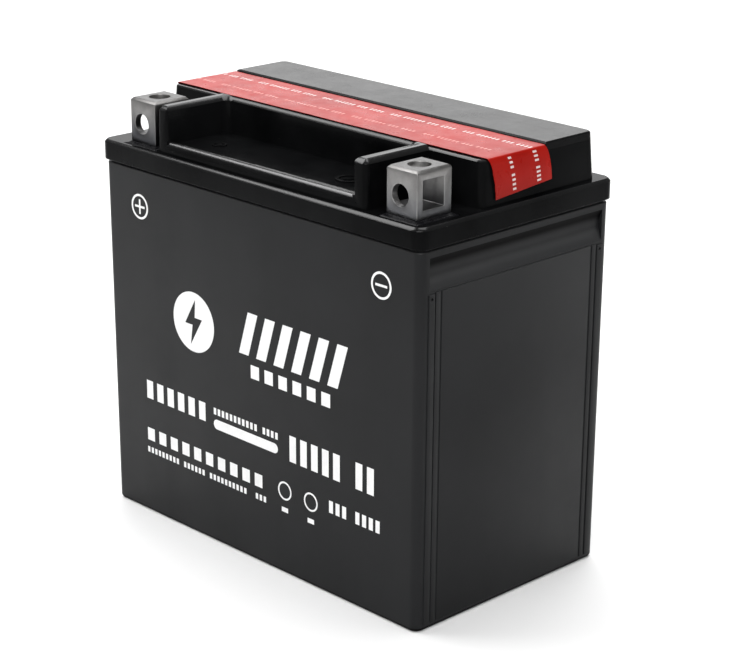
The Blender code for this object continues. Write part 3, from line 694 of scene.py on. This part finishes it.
def rough_solid(name, dark, light, rough, scale, relief, metallic):
    """A grainy material for the pieces inside: plates, paste, mat, rubber and weld."""
    finish = Finish(name, light, rough, metallic=metallic)
    grain = finish.noise(scale, 6.0, 0.65)
    finish.to("Base Color", finish.mix(finish.range(grain, 0.3, 0.7), dark, light))
    fine = finish.noise(scale * 2.5, 3.0)
    finish.to("Roughness", finish.range(fine, 0.3, 0.7, rough - 0.1, min(1.0, rough + 0.08)))
    finish.bump(grain, relief * MM)
    return finish.material


# ---------------- container


def face_front(z):
    """How far forward the container's front is at a height: the case has a draft."""
    return -(CASE_HALF_Y - CASE_DRAFT + CASE_DRAFT * z / CASE_TOP)


def make_container(material):
    """The case with its rounded corners, the moulded relief of both ends, and six cells inside."""
    base_x = CASE_HALF_X - CASE_DRAFT
    base_y = CASE_HALF_Y - CASE_DRAFT
    bm = bmesh.new()
    rounds = {"round_top": CASE_TOP_ROUND, "round_base": CASE_FOOT_ROUND}
    high = (base_x, base_y, CASE_TOP)
    add_block(bm, (-base_x, -base_y, 0.0), high, lean=-CASE_DRAFT, corner=CASE_CORNER, **rounds)
    case = make("container_case", bm, material)

    neck_x = CASE_HALF_X - NECK_INSET
    neck_y = CASE_HALF_Y - NECK_INSET
    low = (-neck_x, -neck_y, CASE_TOP / 2)
    join(case, add_block, low, (neck_x, neck_y, DECK_UNDERSIDE - GAP), corner=CASE_CORNER)

    spans = [(-PANEL_HALF, PANEL_HALF, PANEL_PROUD, RELIEF_TOP)]
    bars = ((STRIP, PANEL_PROUD, RELIEF_TOP), (RIB, RIB_PROUD, RELIEF_TOP - RIB_PROUD))
    for (near, far), proud, top in bars:
        spans += [(near, far, proud, top), (-far, -near, proud, top)]
    for side in (-1, 1):
        for near, far, proud, top in spans:
            bm = bmesh.new()
            xs = sorted((side * (CASE_HALF_X - CASE_WALL / 2), side * (base_x + proud)))
            corners = add_block(bm, (xs[0], near, RELIEF_BASE), (xs[1], far, top))
            outer = [v for v in corners if abs(v.co.x) > base_x]
            for vert in outer:
                if vert.co.z > top / 2:
                    vert.co.x += side * CASE_DRAFT * top / CASE_TOP
            rims = [e for e in bm.edges if all(v in outer for v in e.verts)]
            bevel(bm, rims, RELIEF_ROUND * proud, 3)
            combine(case, "UNION", bm)

    chord = COVE_HIGH - COVE_LOW
    radius = chord**2 / (8 * COVE_DEPTH) + COVE_DEPTH / 2
    for side in (-1, 1):
        centre = (side * (CASE_HALF_X - COVE_DEPTH + radius), 0.0, (COVE_LOW + COVE_HIGH) / 2)
        cut(case, add_rod, centre, radius, 2 * COVE_HALF, "Y", 4 * SIDES)
        x = side * (CASE_HALF_X + SLACK / 2)
        y, z, size = RIB_DIMPLE
        bm = bmesh.new()
        for end in (-1, 1):
            add_rod(bm, (x, end * y, z), size, 2 * SLACK, "X", SIDES // 4)
        combine(case, "DIFFERENCE", bm)

    bm = bmesh.new()
    half_y = CASE_HALF_Y - CASE_WALL
    for x in CELL_CENTRES:
        low = (x - CELL_WIDTH / 2, -half_y, CASE_WALL)
        high = (x + CELL_WIDTH / 2, half_y, DECK_UNDERSIDE + SLACK)
        add_block(bm, low, high)
    combine(case, "DIFFERENCE", bm)
    mark_edges(case)
    smooth(case, 25.0)
    place(case, "case_plastic", "container")


# ---------------- cover


def top_curve(steps):
    """A moulded top edge, as how far out and up each step is: between a round and a chamfer."""
    curve = []
    for step, (sine, cosine) in enumerate(quarter(steps)):
        straight = step / steps
        out = straight + FULLNESS * (1 - cosine - straight)
        curve.append((out, straight + FULLNESS * (sine - straight)))
    return curve


def flare_top(bm, width):
    """Widens the top of a cutter in a quarter round, so that it rounds over the edge it leaves."""
    face = max(bm.faces, key=lambda item: item.calc_center_median().z)
    spans = [[vert.co[axis] for vert in face.verts] for axis in range(3)]
    middle = [(min(span) + max(span)) / 2 for span in spans]
    half = [(max(span) - min(span)) / 2 for span in spans[:2]]
    outs = [width * out for out, _ in top_curve(ROUND_STEPS)] + [width]
    ups = [width * up for _, up in top_curve(ROUND_STEPS)] + [width + SLACK]
    for before, out, up in zip(outs, outs[1:], ups[1:]):
        grown = bmesh.ops.extrude_face_region(bm, geom=[face])["geom"]
        bmesh.ops.delete(bm, geom=[face], context="FACES_ONLY")
        face = next(item for item in grown if isinstance(item, bmesh.types.BMFace))
        for vert in face.verts:
            for axis in range(2):
                ratio = (half[axis] + out) / (half[axis] + before)
                vert.co[axis] = middle[axis] + (vert.co[axis] - middle[axis]) * ratio
            vert.co.z = middle[2] + up


def tray_side(edge, side):
    """One side of the tray's outline in plan, from the round of the arm's front end to the back."""
    points = [(edge + side * ARM_INNER_ROUND, ARM_FRONT - 2 * TOP_ROUND)]
    for sine, cosine in quarter():
        out = edge + side * ARM_INNER_ROUND * (1 - sine)
        points.append((out, ARM_FRONT + ARM_INNER_ROUND * (1 - cosine)))
    for sine, cosine in quarter():
        out = edge - side * TRAY_CORNER * (1 - cosine)
        points.append((out, TRAY_BACK - TRAY_CORNER * (1 - sine)))
    return points


def add_tray_details(cover):
    """Rounds the lip's front edge, widens the lip in steps and adds the floor's bosses."""
    bm = bmesh.new()
    outline = [(ARM_FRONT - SLACK, LIP_TOP + SLACK), (ARM_FRONT - SLACK, LIP_TOP - LIP_ROUND)]
    for out, up in top_curve(CORNER_STEPS):
        outline.append((ARM_FRONT + LIP_ROUND * out, LIP_TOP - LIP_ROUND * (1 - up)))
    outline.append((ARM_FRONT + LIP_ROUND, LIP_TOP + SLACK))
    add_prism(bm, outline, TRAY_LEFT + TRAY_STEP, TRAY_RIGHT - TRAY_STEP, axis=0)
    face_outward(bm)
    combine(cover, "DIFFERENCE", bm)
    for step, (start, wider) in enumerate(LIP_STEPS, start=1):
        low = (start, LIP_BACK - GAP, TRAY_FLOOR - step * BOSS_HEIGHT)
        right = TRAY_RIGHT - TRAY_STEP - step * HAIR
        join(cover, add_block, low, (right, LIP_BACK + wider, LIP_TOP - step * HAIR))
    low, high = TRAY_FLOOR - BOSS_HEIGHT, TRAY_FLOOR + BOSS_HEIGHT
    wide, floor = BOSS_HOLLOW
    hollow = TRAY_FLOOR + floor * BOSS_HEIGHT
    for x, y, radius in BOSSES:
        join(cover, add_upright, x, y, radius, low, high)
        cut(cover, add_upright, x, y, wide * radius, hollow, TRAY_FLOOR + SLACK)
        join(cover, add_upright, x, y, BOSS_PIN * radius, low, high)


def add_cover_outside(cover):
    """The rear block, the two arms and the tray between them."""
    root = RIM_TOP - SHELL / 2
    low = (-BLOCK_HALF, BLOCK_FRONT, root)
    high = (BLOCK_HALF, BLOCK_BACK, TOP)
    join(cover, add_block, low, high, lean=BLOCK_LEAN, corner=BLOCK_CORNER, round_top=TOP_ROUND)
    low = (ARM_LEFT, ARM_FRONT, root)
    high = (ARM_RIGHT, BLOCK_FRONT + 4 * SHELL, ARM_TOP)
    rounds = {"corner": ARM_CORNER, "corners": "front", "round_top": TOP_ROUND}
    join(cover, add_block, low, high, lean=ARM_LEAN, **rounds)
    bm = bmesh.new()
    outline = tray_side(TRAY_RIGHT, 1) + tray_side(TRAY_LEFT, -1)[::-1]
    add_prism(bm, outline, LIP_TOP, ARM_TOP - TOP_ROUND)
    flare_top(bm, TOP_ROUND)
    combine(cover, "DIFFERENCE", bm, "MANIFOLD")
    low = (TRAY_LEFT + TRAY_STEP, LIP_BACK, TRAY_FLOOR)
    high = (TRAY_RIGHT - TRAY_STEP, TRAY_BACK - TRAY_STEP, LIP_TOP + SLACK)
    cut(cover, add_block, low, high, corner=TRAY_CORNER, corners="back")
    add_tray_details(cover)


def hollow_cover(cover):
    """Hollows the cover from below, with a rib left over every partition of the container."""
    skirt_x = CASE_HALF_X - NECK_INSET + GAP
    skirt_y = CASE_HALF_Y - NECK_INSET + GAP
    low = (-skirt_x, -skirt_y, RIM_BOTTOM - SLACK)
    cut(cover, add_block, low, (skirt_x, skirt_y, DECK_UNDERSIDE), corner=CASE_CORNER)
    arms = (ARM_LEFT + SHELL, ARM_RIGHT - SHELL)
    block = (BLOCK_LEAN + SHELL - BLOCK_HALF, BLOCK_HALF - BLOCK_LEAN - SHELL)
    zones = (
        (arms, ARM_FRONT + SHELL, TRAY_BACK - SHELL, TRAY_FLOOR - SHELL),
        (block, BLOCK_FRONT + BLOCK_LEAN + SHELL, VENT_FRONT - SHELL, PORT_DECK - SHELL),
        (block, VENT_FRONT - 2 * SHELL, VENT_BACK, VENT_FLOOR - SHELL),
    )
    for (left_end, right_end), front, back, ceiling in zones:
        bm = bmesh.new()
        for x in CELL_CENTRES:
            left = max(x - CELL_WIDTH / 2, left_end)
            right = min(x + CELL_WIDTH / 2, right_end)
            if right - left > SHELL:
                add_block(bm, (left, front, DECK_UNDERSIDE - SLACK), (right, back, ceiling))
        combine(cover, "DIFFERENCE", bm)


def open_cover_top(cover):
    """Sinks the foil's channel, the filler ports and the vent chamber."""
    low = (-2 * BLOCK_HALF, CHANNEL_FRONT, PORT_DECK)
    cut(cover, add_block, low, (2 * BLOCK_HALF, CHANNEL_BACK + SLACK, TOP + SLACK))
    bm = bmesh.new()
    for x in CELL_CENTRES:
        add_upright(bm, x, PORT_Y, PORT_TUBE_RADIUS, PORT_TUBE_BOTTOM, PORT_DECK - SHELL / 2)
    combine(cover, "UNION", bm)
    bm = bmesh.new()
    for x in CELL_CENTRES:
        add_upright(bm, x, PORT_Y, PORT_RADIUS, PORT_TUBE_BOTTOM - SLACK, TOP)
    combine(cover, "DIFFERENCE", bm)
    low = (-2 * BLOCK_HALF, CHANNEL_BACK, VENT_SEAT)
    cut(cover, add_block, low, (2 * BLOCK_HALF, 2 * BLOCK_BACK, TOP + SLACK))
    cut(cover, add_block, (-VENT_HALF, VENT_FRONT, VENT_FLOOR), (VENT_HALF, VENT_BACK, TOP))
    exit_place = (0.0, BLOCK_BACK, (VENT_FLOOR + VENT_SEAT) / 2)
    cut(cover, add_rod, exit_place, VENT_EXIT_RADIUS, 5 * SHELL, "Y", SIDES // 2)


def make_cover(material):
    """The welded lid: rim, deck, tray, arms, ridge, foil channel and rear block."""
    bm = bmesh.new()
    low = (COVER_LOW.x, COVER_LOW.y, RIM_BOTTOM)
    high = (COVER_HIGH.x, COVER_HIGH.y, RIM_TOP)
    add_block(bm, low, high, corner=RIM_CORNER, round_top=RIM_ROUND, round_base=RIM_BASE_ROUND)
    cover = make("cover_shell", bm, material)
    add_cover_outside(cover)
    hollow_cover(cover)
    open_cover_top(cover)
    bm = bmesh.new()
    for side in LUG_CENTRES:
        low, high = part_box(f"terminal_seal_{side}")
        margin = Vector((GAP, GAP, GAP))
        add_block(bm, low - margin, high + margin)
    combine(cover, "DIFFERENCE", bm)
    mark_edges(cover)
    smooth(cover)
    place(cover, "cover_plastic", "cover")


def make_vent_cover(material):
    """The plate over the vent chamber."""
    inset = BLOCK_SLOPE * (VENT_SEAT - RIM_TOP + SHELL / 2)
    half, back = BLOCK_HALF - inset, BLOCK_BACK - inset
    bm = bmesh.new()
    low = (-half, VENT_PLATE_FRONT, VENT_SEAT + SEAM)
    high = (half, back, TOP)
    add_block(bm, low, high, BLOCK_SLOPE * (TOP - VENT_SEAT), BLOCK_CORNER, "back", VENT_ROUND)
    plate = make("vent_cover_plate", bm, material)
    mark_edges(plate)
    smooth(plate)
    place(plate, "vent_plastic", "vent_cover")


# ---------------- terminals


def make_lug(side, material):
    """A square lead tube with a bolt hole in its front and its top."""
    x = LUG_CENTRES[side]
    bm = bmesh.new()
    low = (x - LUG_X / 2, LUG_FRONT, LUG_BOTTOM)
    high = (x + LUG_X / 2, LUG_FRONT + LUG_Y, TOP)
    add_block(bm, low, high)
    bevel(bm, edges_at_height(bm, TOP), LUG_CHAMFER, 1)
    lug = make(f"terminal_{side}_lug", bm, material)
    low = (x - LUG_X, LUG_FRONT + SLOT_FRONT_WALL, SLOT_LOW)
    high = (x + LUG_X, LUG_FRONT + LUG_Y - SLOT_BACK_WALL, SLOT_HIGH)
    cut(lug, add_block, low, high)
    aside, height, radius = FRONT_HOLE
    cut(lug, add_rod, (x + aside, LUG_FRONT, height), radius, 2 * SLOT_FRONT_WALL + SLACK, "Y")
    cut(lug, add_upright, x, LUG_Y_CENTRE, TOP_HOLE_RADIUS, SLOT_HIGH - SLACK, TOP + SLACK)
    low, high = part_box(f"terminal_{side}")
    join(lug, add_upright, x, LUG_Y_CENTRE, STUB_RADIUS, low.z, (LUG_BOTTOM + SLOT_LOW) / 2)
    soften(lug, LUG_EDGE, 3)
    mark_edges(lug, LUG_CHAMFER)
    smooth(lug)
    place(lug, "terminal_lead", f"terminal_{side}")


def make_resin(side, material):
    """The resin poured round a terminal's foot, uneven and drawn up against the lead."""
    low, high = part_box(f"terminal_seal_{side}")
    x = LUG_CENTRES[side]
    bm = bmesh.new()
    bmesh.ops.create_grid(bm, x_segments=RESIN_STEPS, y_segments=RESIN_STEPS, size=0.5)
    half_x, half_y = (high.x - low.x) / 2, (high.y - low.y) / 2
    middle = (low + high) / 2
    for vert in bm.verts:
        u, v = 2 * vert.co.x, 2 * vert.co.y
        px, py = middle.x + u * half_x, middle.y + v * half_y
        beyond = max(abs(px - x) - LUG_X / 2, abs(py - LUG_Y_CENTRE) - LUG_Y / 2)
        climb = RESIN_CLIMB * math.exp(-max(beyond, 0.0) / RESIN_REACH)
        ripple = RESIN_RIPPLE * noise.noise(Vector((px, py, x)) * RESIN_RIPPLES)
        edge = 1 - max(abs(u), abs(v))
        drop = RESIN_DROP * math.exp(-edge / RESIN_DROP_WIDTH)
        skin = high.z - RESIN_SINK + climb + ripple - drop
        vert.co = (px, py, min(skin, high.z + RESIN_PEAK))
    grown = bmesh.ops.extrude_face_region(bm, geom=list(bm.faces))["geom"]
    for item in grown:
        if isinstance(item, bmesh.types.BMVert):
            item.co.z = low.z
    face_outward(bm)
    resin = make(f"terminal_{side}_resin", bm, material)
    smooth(resin, 50.0)
    place(resin, "resin", f"terminal_seal_{side}")


# ---------------- foil


def foil_path():
    """The foil's line across the block, as (x, z): up one end, over the top and down the other."""
    top = FOIL_HIGH.z - FOIL_SINK
    bottom = FOIL_LOW.z
    corner_x = BLOCK_HALF - BLOCK_SLOPE * (PORT_DECK - RIM_TOP) + FLAP_STAND_OFF
    foot_x = BLOCK_HALF - BLOCK_SLOPE * (bottom - RIM_TOP) + FLAP_STAND_OFF
    drop = top - FOIL_BEND - bottom
    end = []
    for i in range(FLAP_STEPS):
        share = i / FLAP_STEPS
        end.append((foot_x + (corner_x - foot_x) * share, bottom + drop * share))
    for sine, cosine in quarter(ROUND_STEPS):
        end.append((corner_x - FOIL_BEND * (1 - cosine), top - FOIL_BEND * (1 - sine)))
    half = corner_x - FOIL_BEND
    middle = [(half * (1 - 2 * i / FOIL_STEPS), top) for i in range(1, FOIL_STEPS)]
    return end + middle + [(-x, z) for x, z in reversed(end)]


def foil_point(path, along, across, lift=0.0):
    """A point of the foil: along is a place on its path, across runs from 0 at the front to 1."""
    index = min(int(along), len(path) - 2)
    part = along - index
    x, z = (near + (far - near) * part for near, far in zip(path[index], path[index + 1]))
    reach = FOIL_HIGH.z - FOIL_LOW.z
    hang = max(0.0, FOIL_HIGH.z - z - FOIL_BEND) / reach
    ragged = FOIL_EDGE + FOIL_RAGGED * noise.noise(Vector((x * FOIL_NICKS, 3.0, z * FOIL_NICKS)))
    y = FOIL_HIGH.y - (FOIL_HIGH.y - FOIL_LOW.y - ragged) * (1 - across)
    y += math.sqrt(hang) * (FLAP_FRONT_CUT * (1 - across) + FLAP_BACK_SPREAD * across)
    rate, rate_across = FOIL_WAVES
    wave = noise.noise(Vector((x * rate, y * rate_across, z * rate)))
    rate, rate_across = FOIL_RIPPLES
    ripple = noise.noise(Vector((x * rate, y * rate_across, 7.0 + z * rate)))
    push = FOIL_WAVE * wave + FOIL_RIPPLE * FOIL_WAVE * ripple + lift
    if hang > 0:
        x += math.copysign(push + FLAP_BULGE * math.sin(math.pi * min(1.0, hang)), x)
        z += hang * FLAP_SLANT * across
    else:
        z += push - FOIL_WAVE
    return (x, y, z)


def add_foil_patch(bm, path, start, end, front, back, lift, long_steps, wide_steps):
    """A part of the foil's surface as a grid."""
    rows = []
    for i in range(long_steps + 1):
        along = start + (end - start) * i / long_steps
        spots = [front + (back - front) * j / wide_steps for j in range(wide_steps + 1)]
        rows.append([bm.verts.new(foil_point(path, along, across, lift)) for across in spots])
    for near, far in zip(rows, rows[1:]):
        for corners in zip(near, near[1:], far[1:], far):
            bm.faces.new(corners)


def make_sheet(name, bm, thickness, material):
    """Gives the working surface a thickness, and hands it to the foil's body."""
    face_outward(bm)
    sheet = make(name, bm, material)
    solid = sheet.modifiers.new("thickness", "SOLIDIFY")
    solid.thickness = thickness
    solid.offset = 0.0
    settle(sheet)
    smooth(sheet, 60.0)
    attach(sheet, "foil_seal")
    return sheet


def dash_places(start, stop):
    """Where the dashes of a printed row start, in groups like words."""
    along = start
    while along < stop:
        for length, space in FOIL_WORDS:
            for _ in range(length):
                if along + FOIL_DASH < stop:
                    yield along
                along += FOIL_PITCH
            along += space


def make_foil(material, bold_ink, faint_ink):
    """The tear-off foil: thin, slightly wavy, with flaps cut at a slant and printed dashes."""
    path = foil_path()
    last = len(path) - 1
    bm = bmesh.new()
    add_foil_patch(bm, path, 0, last, 0.0, 1.0, 0.0, last, FOIL_STEPS_ACROSS)
    foil = make_sheet("foil_strip", bm, FOIL_THICKNESS, material)
    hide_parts("foil_seal")
    bend = FLAP_STEPS + ROUND_STEPS
    flaps = ((FLAP_MARGIN, FLAP_STEPS), (last - FLAP_STEPS, last - FLAP_MARGIN))
    bold = [(FOIL_BACK_ROW, (bend, last - bend))]
    bold += [(row, span) for row in (FOIL_FRONT_ROW, FOIL_BACK_ROW) for span in flaps]
    faint = [(FOIL_FRONT_ROW, (bend + FOIL_SHIFT, last - bend))]
    prints = (("foil_print_bold", bold, bold_ink), ("foil_print_faint", faint, faint_ink))
    for name, rows, ink in prints:
        bm = bmesh.new()
        for (centre, half), (start, stop) in rows:
            for along in dash_places(start, stop):
                sides = (centre - half, centre + half)
                add_foil_patch(bm, path, along, along + FOIL_DASH, *sides, FOIL_PRINT_LIFT, 2, 1)
        make_sheet(name, bm, FOIL_INK, ink)


# ---------------- printed marks


def add_bar(bm, x0, x1, z0, z1, slant=0.0):
    """A printed block on the front of the container, as a thin solid."""
    add_outline(bm, [(x0, z0), (x1, z0), (x1 + slant, z1), (x0 + slant, z1)])


def add_outline(bm, outline, proud=PRINT):
    """A printed shape with this outline of (x, z) points, lying on the container's front."""
    near = [bm.verts.new((x, face_front(z) - proud, z)) for x, z in outline]
    far = [bm.verts.new((x, face_front(z) + proud, z)) for x, z in outline]
    bm.faces.new(near)
    bm.faces.new(far[::-1])
    count = len(outline)
    for i in range(count):
        j = (i + 1) % count
        bm.faces.new((near[j], near[i], far[i], far[j]))


def circle(x, z, radius, sides=SIDES):
    """The outline of a disc."""
    turns = [math.tau * i / sides for i in range(sides)]
    return [(x + radius * math.cos(turn), z + radius * math.sin(turn)) for turn in turns]


def pill(x0, x1, z0, z1, sides=12):
    """An outline with round ends."""
    radius = (z1 - z0) / 2
    outline = []
    for x, start in ((x1 - radius, -math.pi / 2), (x0 + radius, math.pi / 2)):
        for i in range(sides + 1):
            turn = start + math.pi * i / sides
            outline.append((x + radius * math.cos(turn), z0 + radius + radius * math.sin(turn)))
    return outline


def add_ring(bm, x, z, radius, line, sides=SIDES):
    """A printed ring."""
    loops = []
    for size, side in ((radius, -1), (radius - line, -1), (radius - line, 1), (radius, 1)):
        points = circle(x, z, size, sides)
        loops.append([bm.verts.new((px, face_front(pz) + side * PRINT, pz)) for px, pz in points])
    for near, far in zip(loops, loops[1:] + loops[:1]):
        for i in range(sides):
            j = (i + 1) % sides
            bm.faces.new((near[i], near[j], far[j], far[i]))


def add_blocks(bm, left, right, low, high, count, gaps=()):
    """A row of plain blocks in place of a line of lettering."""
    pitch = (right - left) / count
    for i in range(count):
        if i in gaps:
            continue
        x = left + i * pitch
        add_bar(bm, x, x + BLOCK_FILL * pitch, low, high)


def make_prints(material):
    """The polarity marks, and plain shapes where the maker's print would be."""
    bm = bmesh.new()
    arm, half = POLARITY_BAR
    for x, z, plus in POLARITY_MARKS:
        add_ring(bm, x, z, *POLARITY_RING)
        if plus:
            cross = [(-arm, -half), (-half, -half), (-half, -arm)]
            cross += [(-a, b) for a, b in reversed(cross)]
            cross += [(-a, -b) for a, b in cross]
            add_outline(bm, [(x + a, z + b) for a, b in cross])
        else:
            add_bar(bm, x - arm, x + arm, z - half, z + half)
    face_outward(bm)
    place(make("printed_polarity_marks", bm, material), "case_plastic")

    bm = bmesh.new()
    add_outline(bm, circle(*BADGE))
    face_outward(bm)
    badge = make("printed_badge", bm, material)
    bm = bmesh.new()
    x, z, radius = BADGE
    add_outline(bm, [(x + a * radius, z + b * radius) for a, b in BOLT], 10 * PRINT)
    face_outward(bm)
    combine(badge, "DIFFERENCE", bm)
    place(badge, "case_plastic")

    bm = bmesh.new()
    for left in STRIPES:
        add_bar(bm, left, left + STRIPE_WIDTH, *STRIPE_HEIGHTS, slant=STRIPE_SLANT)
    add_outline(bm, pill(*PILL))
    for row in BLOCK_ROWS:
        add_blocks(bm, *row)
    half, low, high = RING_BAR
    for x, z in RINGS:
        add_ring(bm, x, z, *RING, SIDES // 2)
        add_bar(bm, x - half, x + half, z + low, z + high)
    face_outward(bm)
    place(make("printed_blocks", bm, material), "case_plastic")


# ---------------- light, floor and camera


def add_floor():
    """A plain pale floor."""
    bm = bmesh.new()
    bmesh.ops.create_grid(bm, x_segments=1, y_segments=1, size=6.0)
    finish = Finish("floor_pale", (0.86, 0.86, 0.86), 0.9)
    finish.to("Base Color", finish.mix(finish.noise(3.0), (0.85, 0.85, 0.85), (0.87, 0.87, 0.87)))
    floor = make("floor", bm, finish.material)
    floor.location.z = -0.02 * MM


def add_light(name, location, aim, size, power):
    """A soft rectangular light aimed at a point."""
    data = bpy.data.lights.new(name, "AREA")
    data.shape = "RECTANGLE"
    data.size, data.size_y = size
    data.energy = power
    light = bpy.data.objects.new(name, data)
    light.location = location
    light.rotation_mode = "QUATERNION"
    light.rotation_quaternion = (Vector(aim) - Vector(location)).to_track_quat("-Z", "Y")
    light.visible_camera = False
    bpy.context.scene.collection.objects.link(light)


def add_camera():
    """The camera at the angle that the object is seen from."""
    level = math.cos(CAMERA_ELEVATION)
    aside, ahead = math.sin(CAMERA_AZIMUTH), -math.cos(CAMERA_AZIMUTH)
    back = Vector((aside * level, ahead * level, math.sin(CAMERA_ELEVATION)))
    right = Vector((0, 0, 1)).cross(back).normalized()
    up = back.cross(right)
    data = bpy.data.cameras.new("camera")
    data.lens = CAMERA_LENS
    data.sensor_width = SENSOR
    camera = bpy.data.objects.new("camera", data)
    bpy.context.scene.collection.objects.link(camera)
    c, s = math.cos(CAMERA_ROLL), math.sin(CAMERA_ROLL)
    axes = Matrix((c * right + s * up, -s * right + c * up, back)).transposed()
    camera.rotation_mode = "QUATERNION"
    camera.rotation_quaternion = axes.to_quaternion()
    aim = Vector((0.0, 0.0, CAMERA_AIM_HEIGHT)) + CAMERA_ASIDE * right + CAMERA_RAISE * up
    camera.location = aim + CAMERA_DISTANCE * back
    bpy.context.scene.camera = camera


def add_studio():
    """A faint even sky, soft lights round the battery, and a bright panel that its top reflects."""
    world = bpy.data.worlds.new("studio")
    bpy.context.scene.world = world
    world.use_nodes = True
    background = world.node_tree.nodes["Background"]
    background.inputs["Color"].default_value = (1.0, 1.0, 1.0, 1.0)
    background.inputs["Strength"].default_value = WORLD_STRENGTH
    for name, location, aim, size, power in LIGHTS:
        add_light(name, location, aim or LIGHT_AIM, size, power)


def dress_inner_nodes():
    """Materials for the pieces that stay as CAD made them."""
    looks = {start: rough_solid(*look) for start, look in INNER_LOOKS.items()}
    for name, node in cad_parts.items():
        for start, material in looks.items():
            if name.startswith(start):
                node.data.materials.clear()
                node.data.materials.append(material)


case_black = case_plastic()
cover_black = moulded_plastic("cover_black", (0.0011, 0.0012, 0.0014), 0.15, 0.03, 0.12, 0.30)
vent_black = moulded_plastic("vent_black", (0.0016, 0.0017, 0.0019), 0.24, 0.06, 0.05)
lead_finish = lead()
resin_finish = poured_resin()
make_container(case_black)
make_cover(cover_black)
make_vent_cover(vent_black)
for side in LUG_CENTRES:
    make_lug(side, lead_finish)
    make_resin(side, resin_finish)
white_ink = printing_ink("white_ink", (0.80, 0.80, 0.80))
faint_ink = printing_ink("faint_ink", (0.62, 0.26, 0.24))
bold_ink = printing_ink("foil_ink", (0.66, 0.54, 0.53))
make_foil(red_foil(), bold_ink, faint_ink)
make_prints(white_ink)
dress_inner_nodes()
add_floor()
add_studio()
add_camera()
bpy.context.scene.view_settings.view_transform = "Standard"
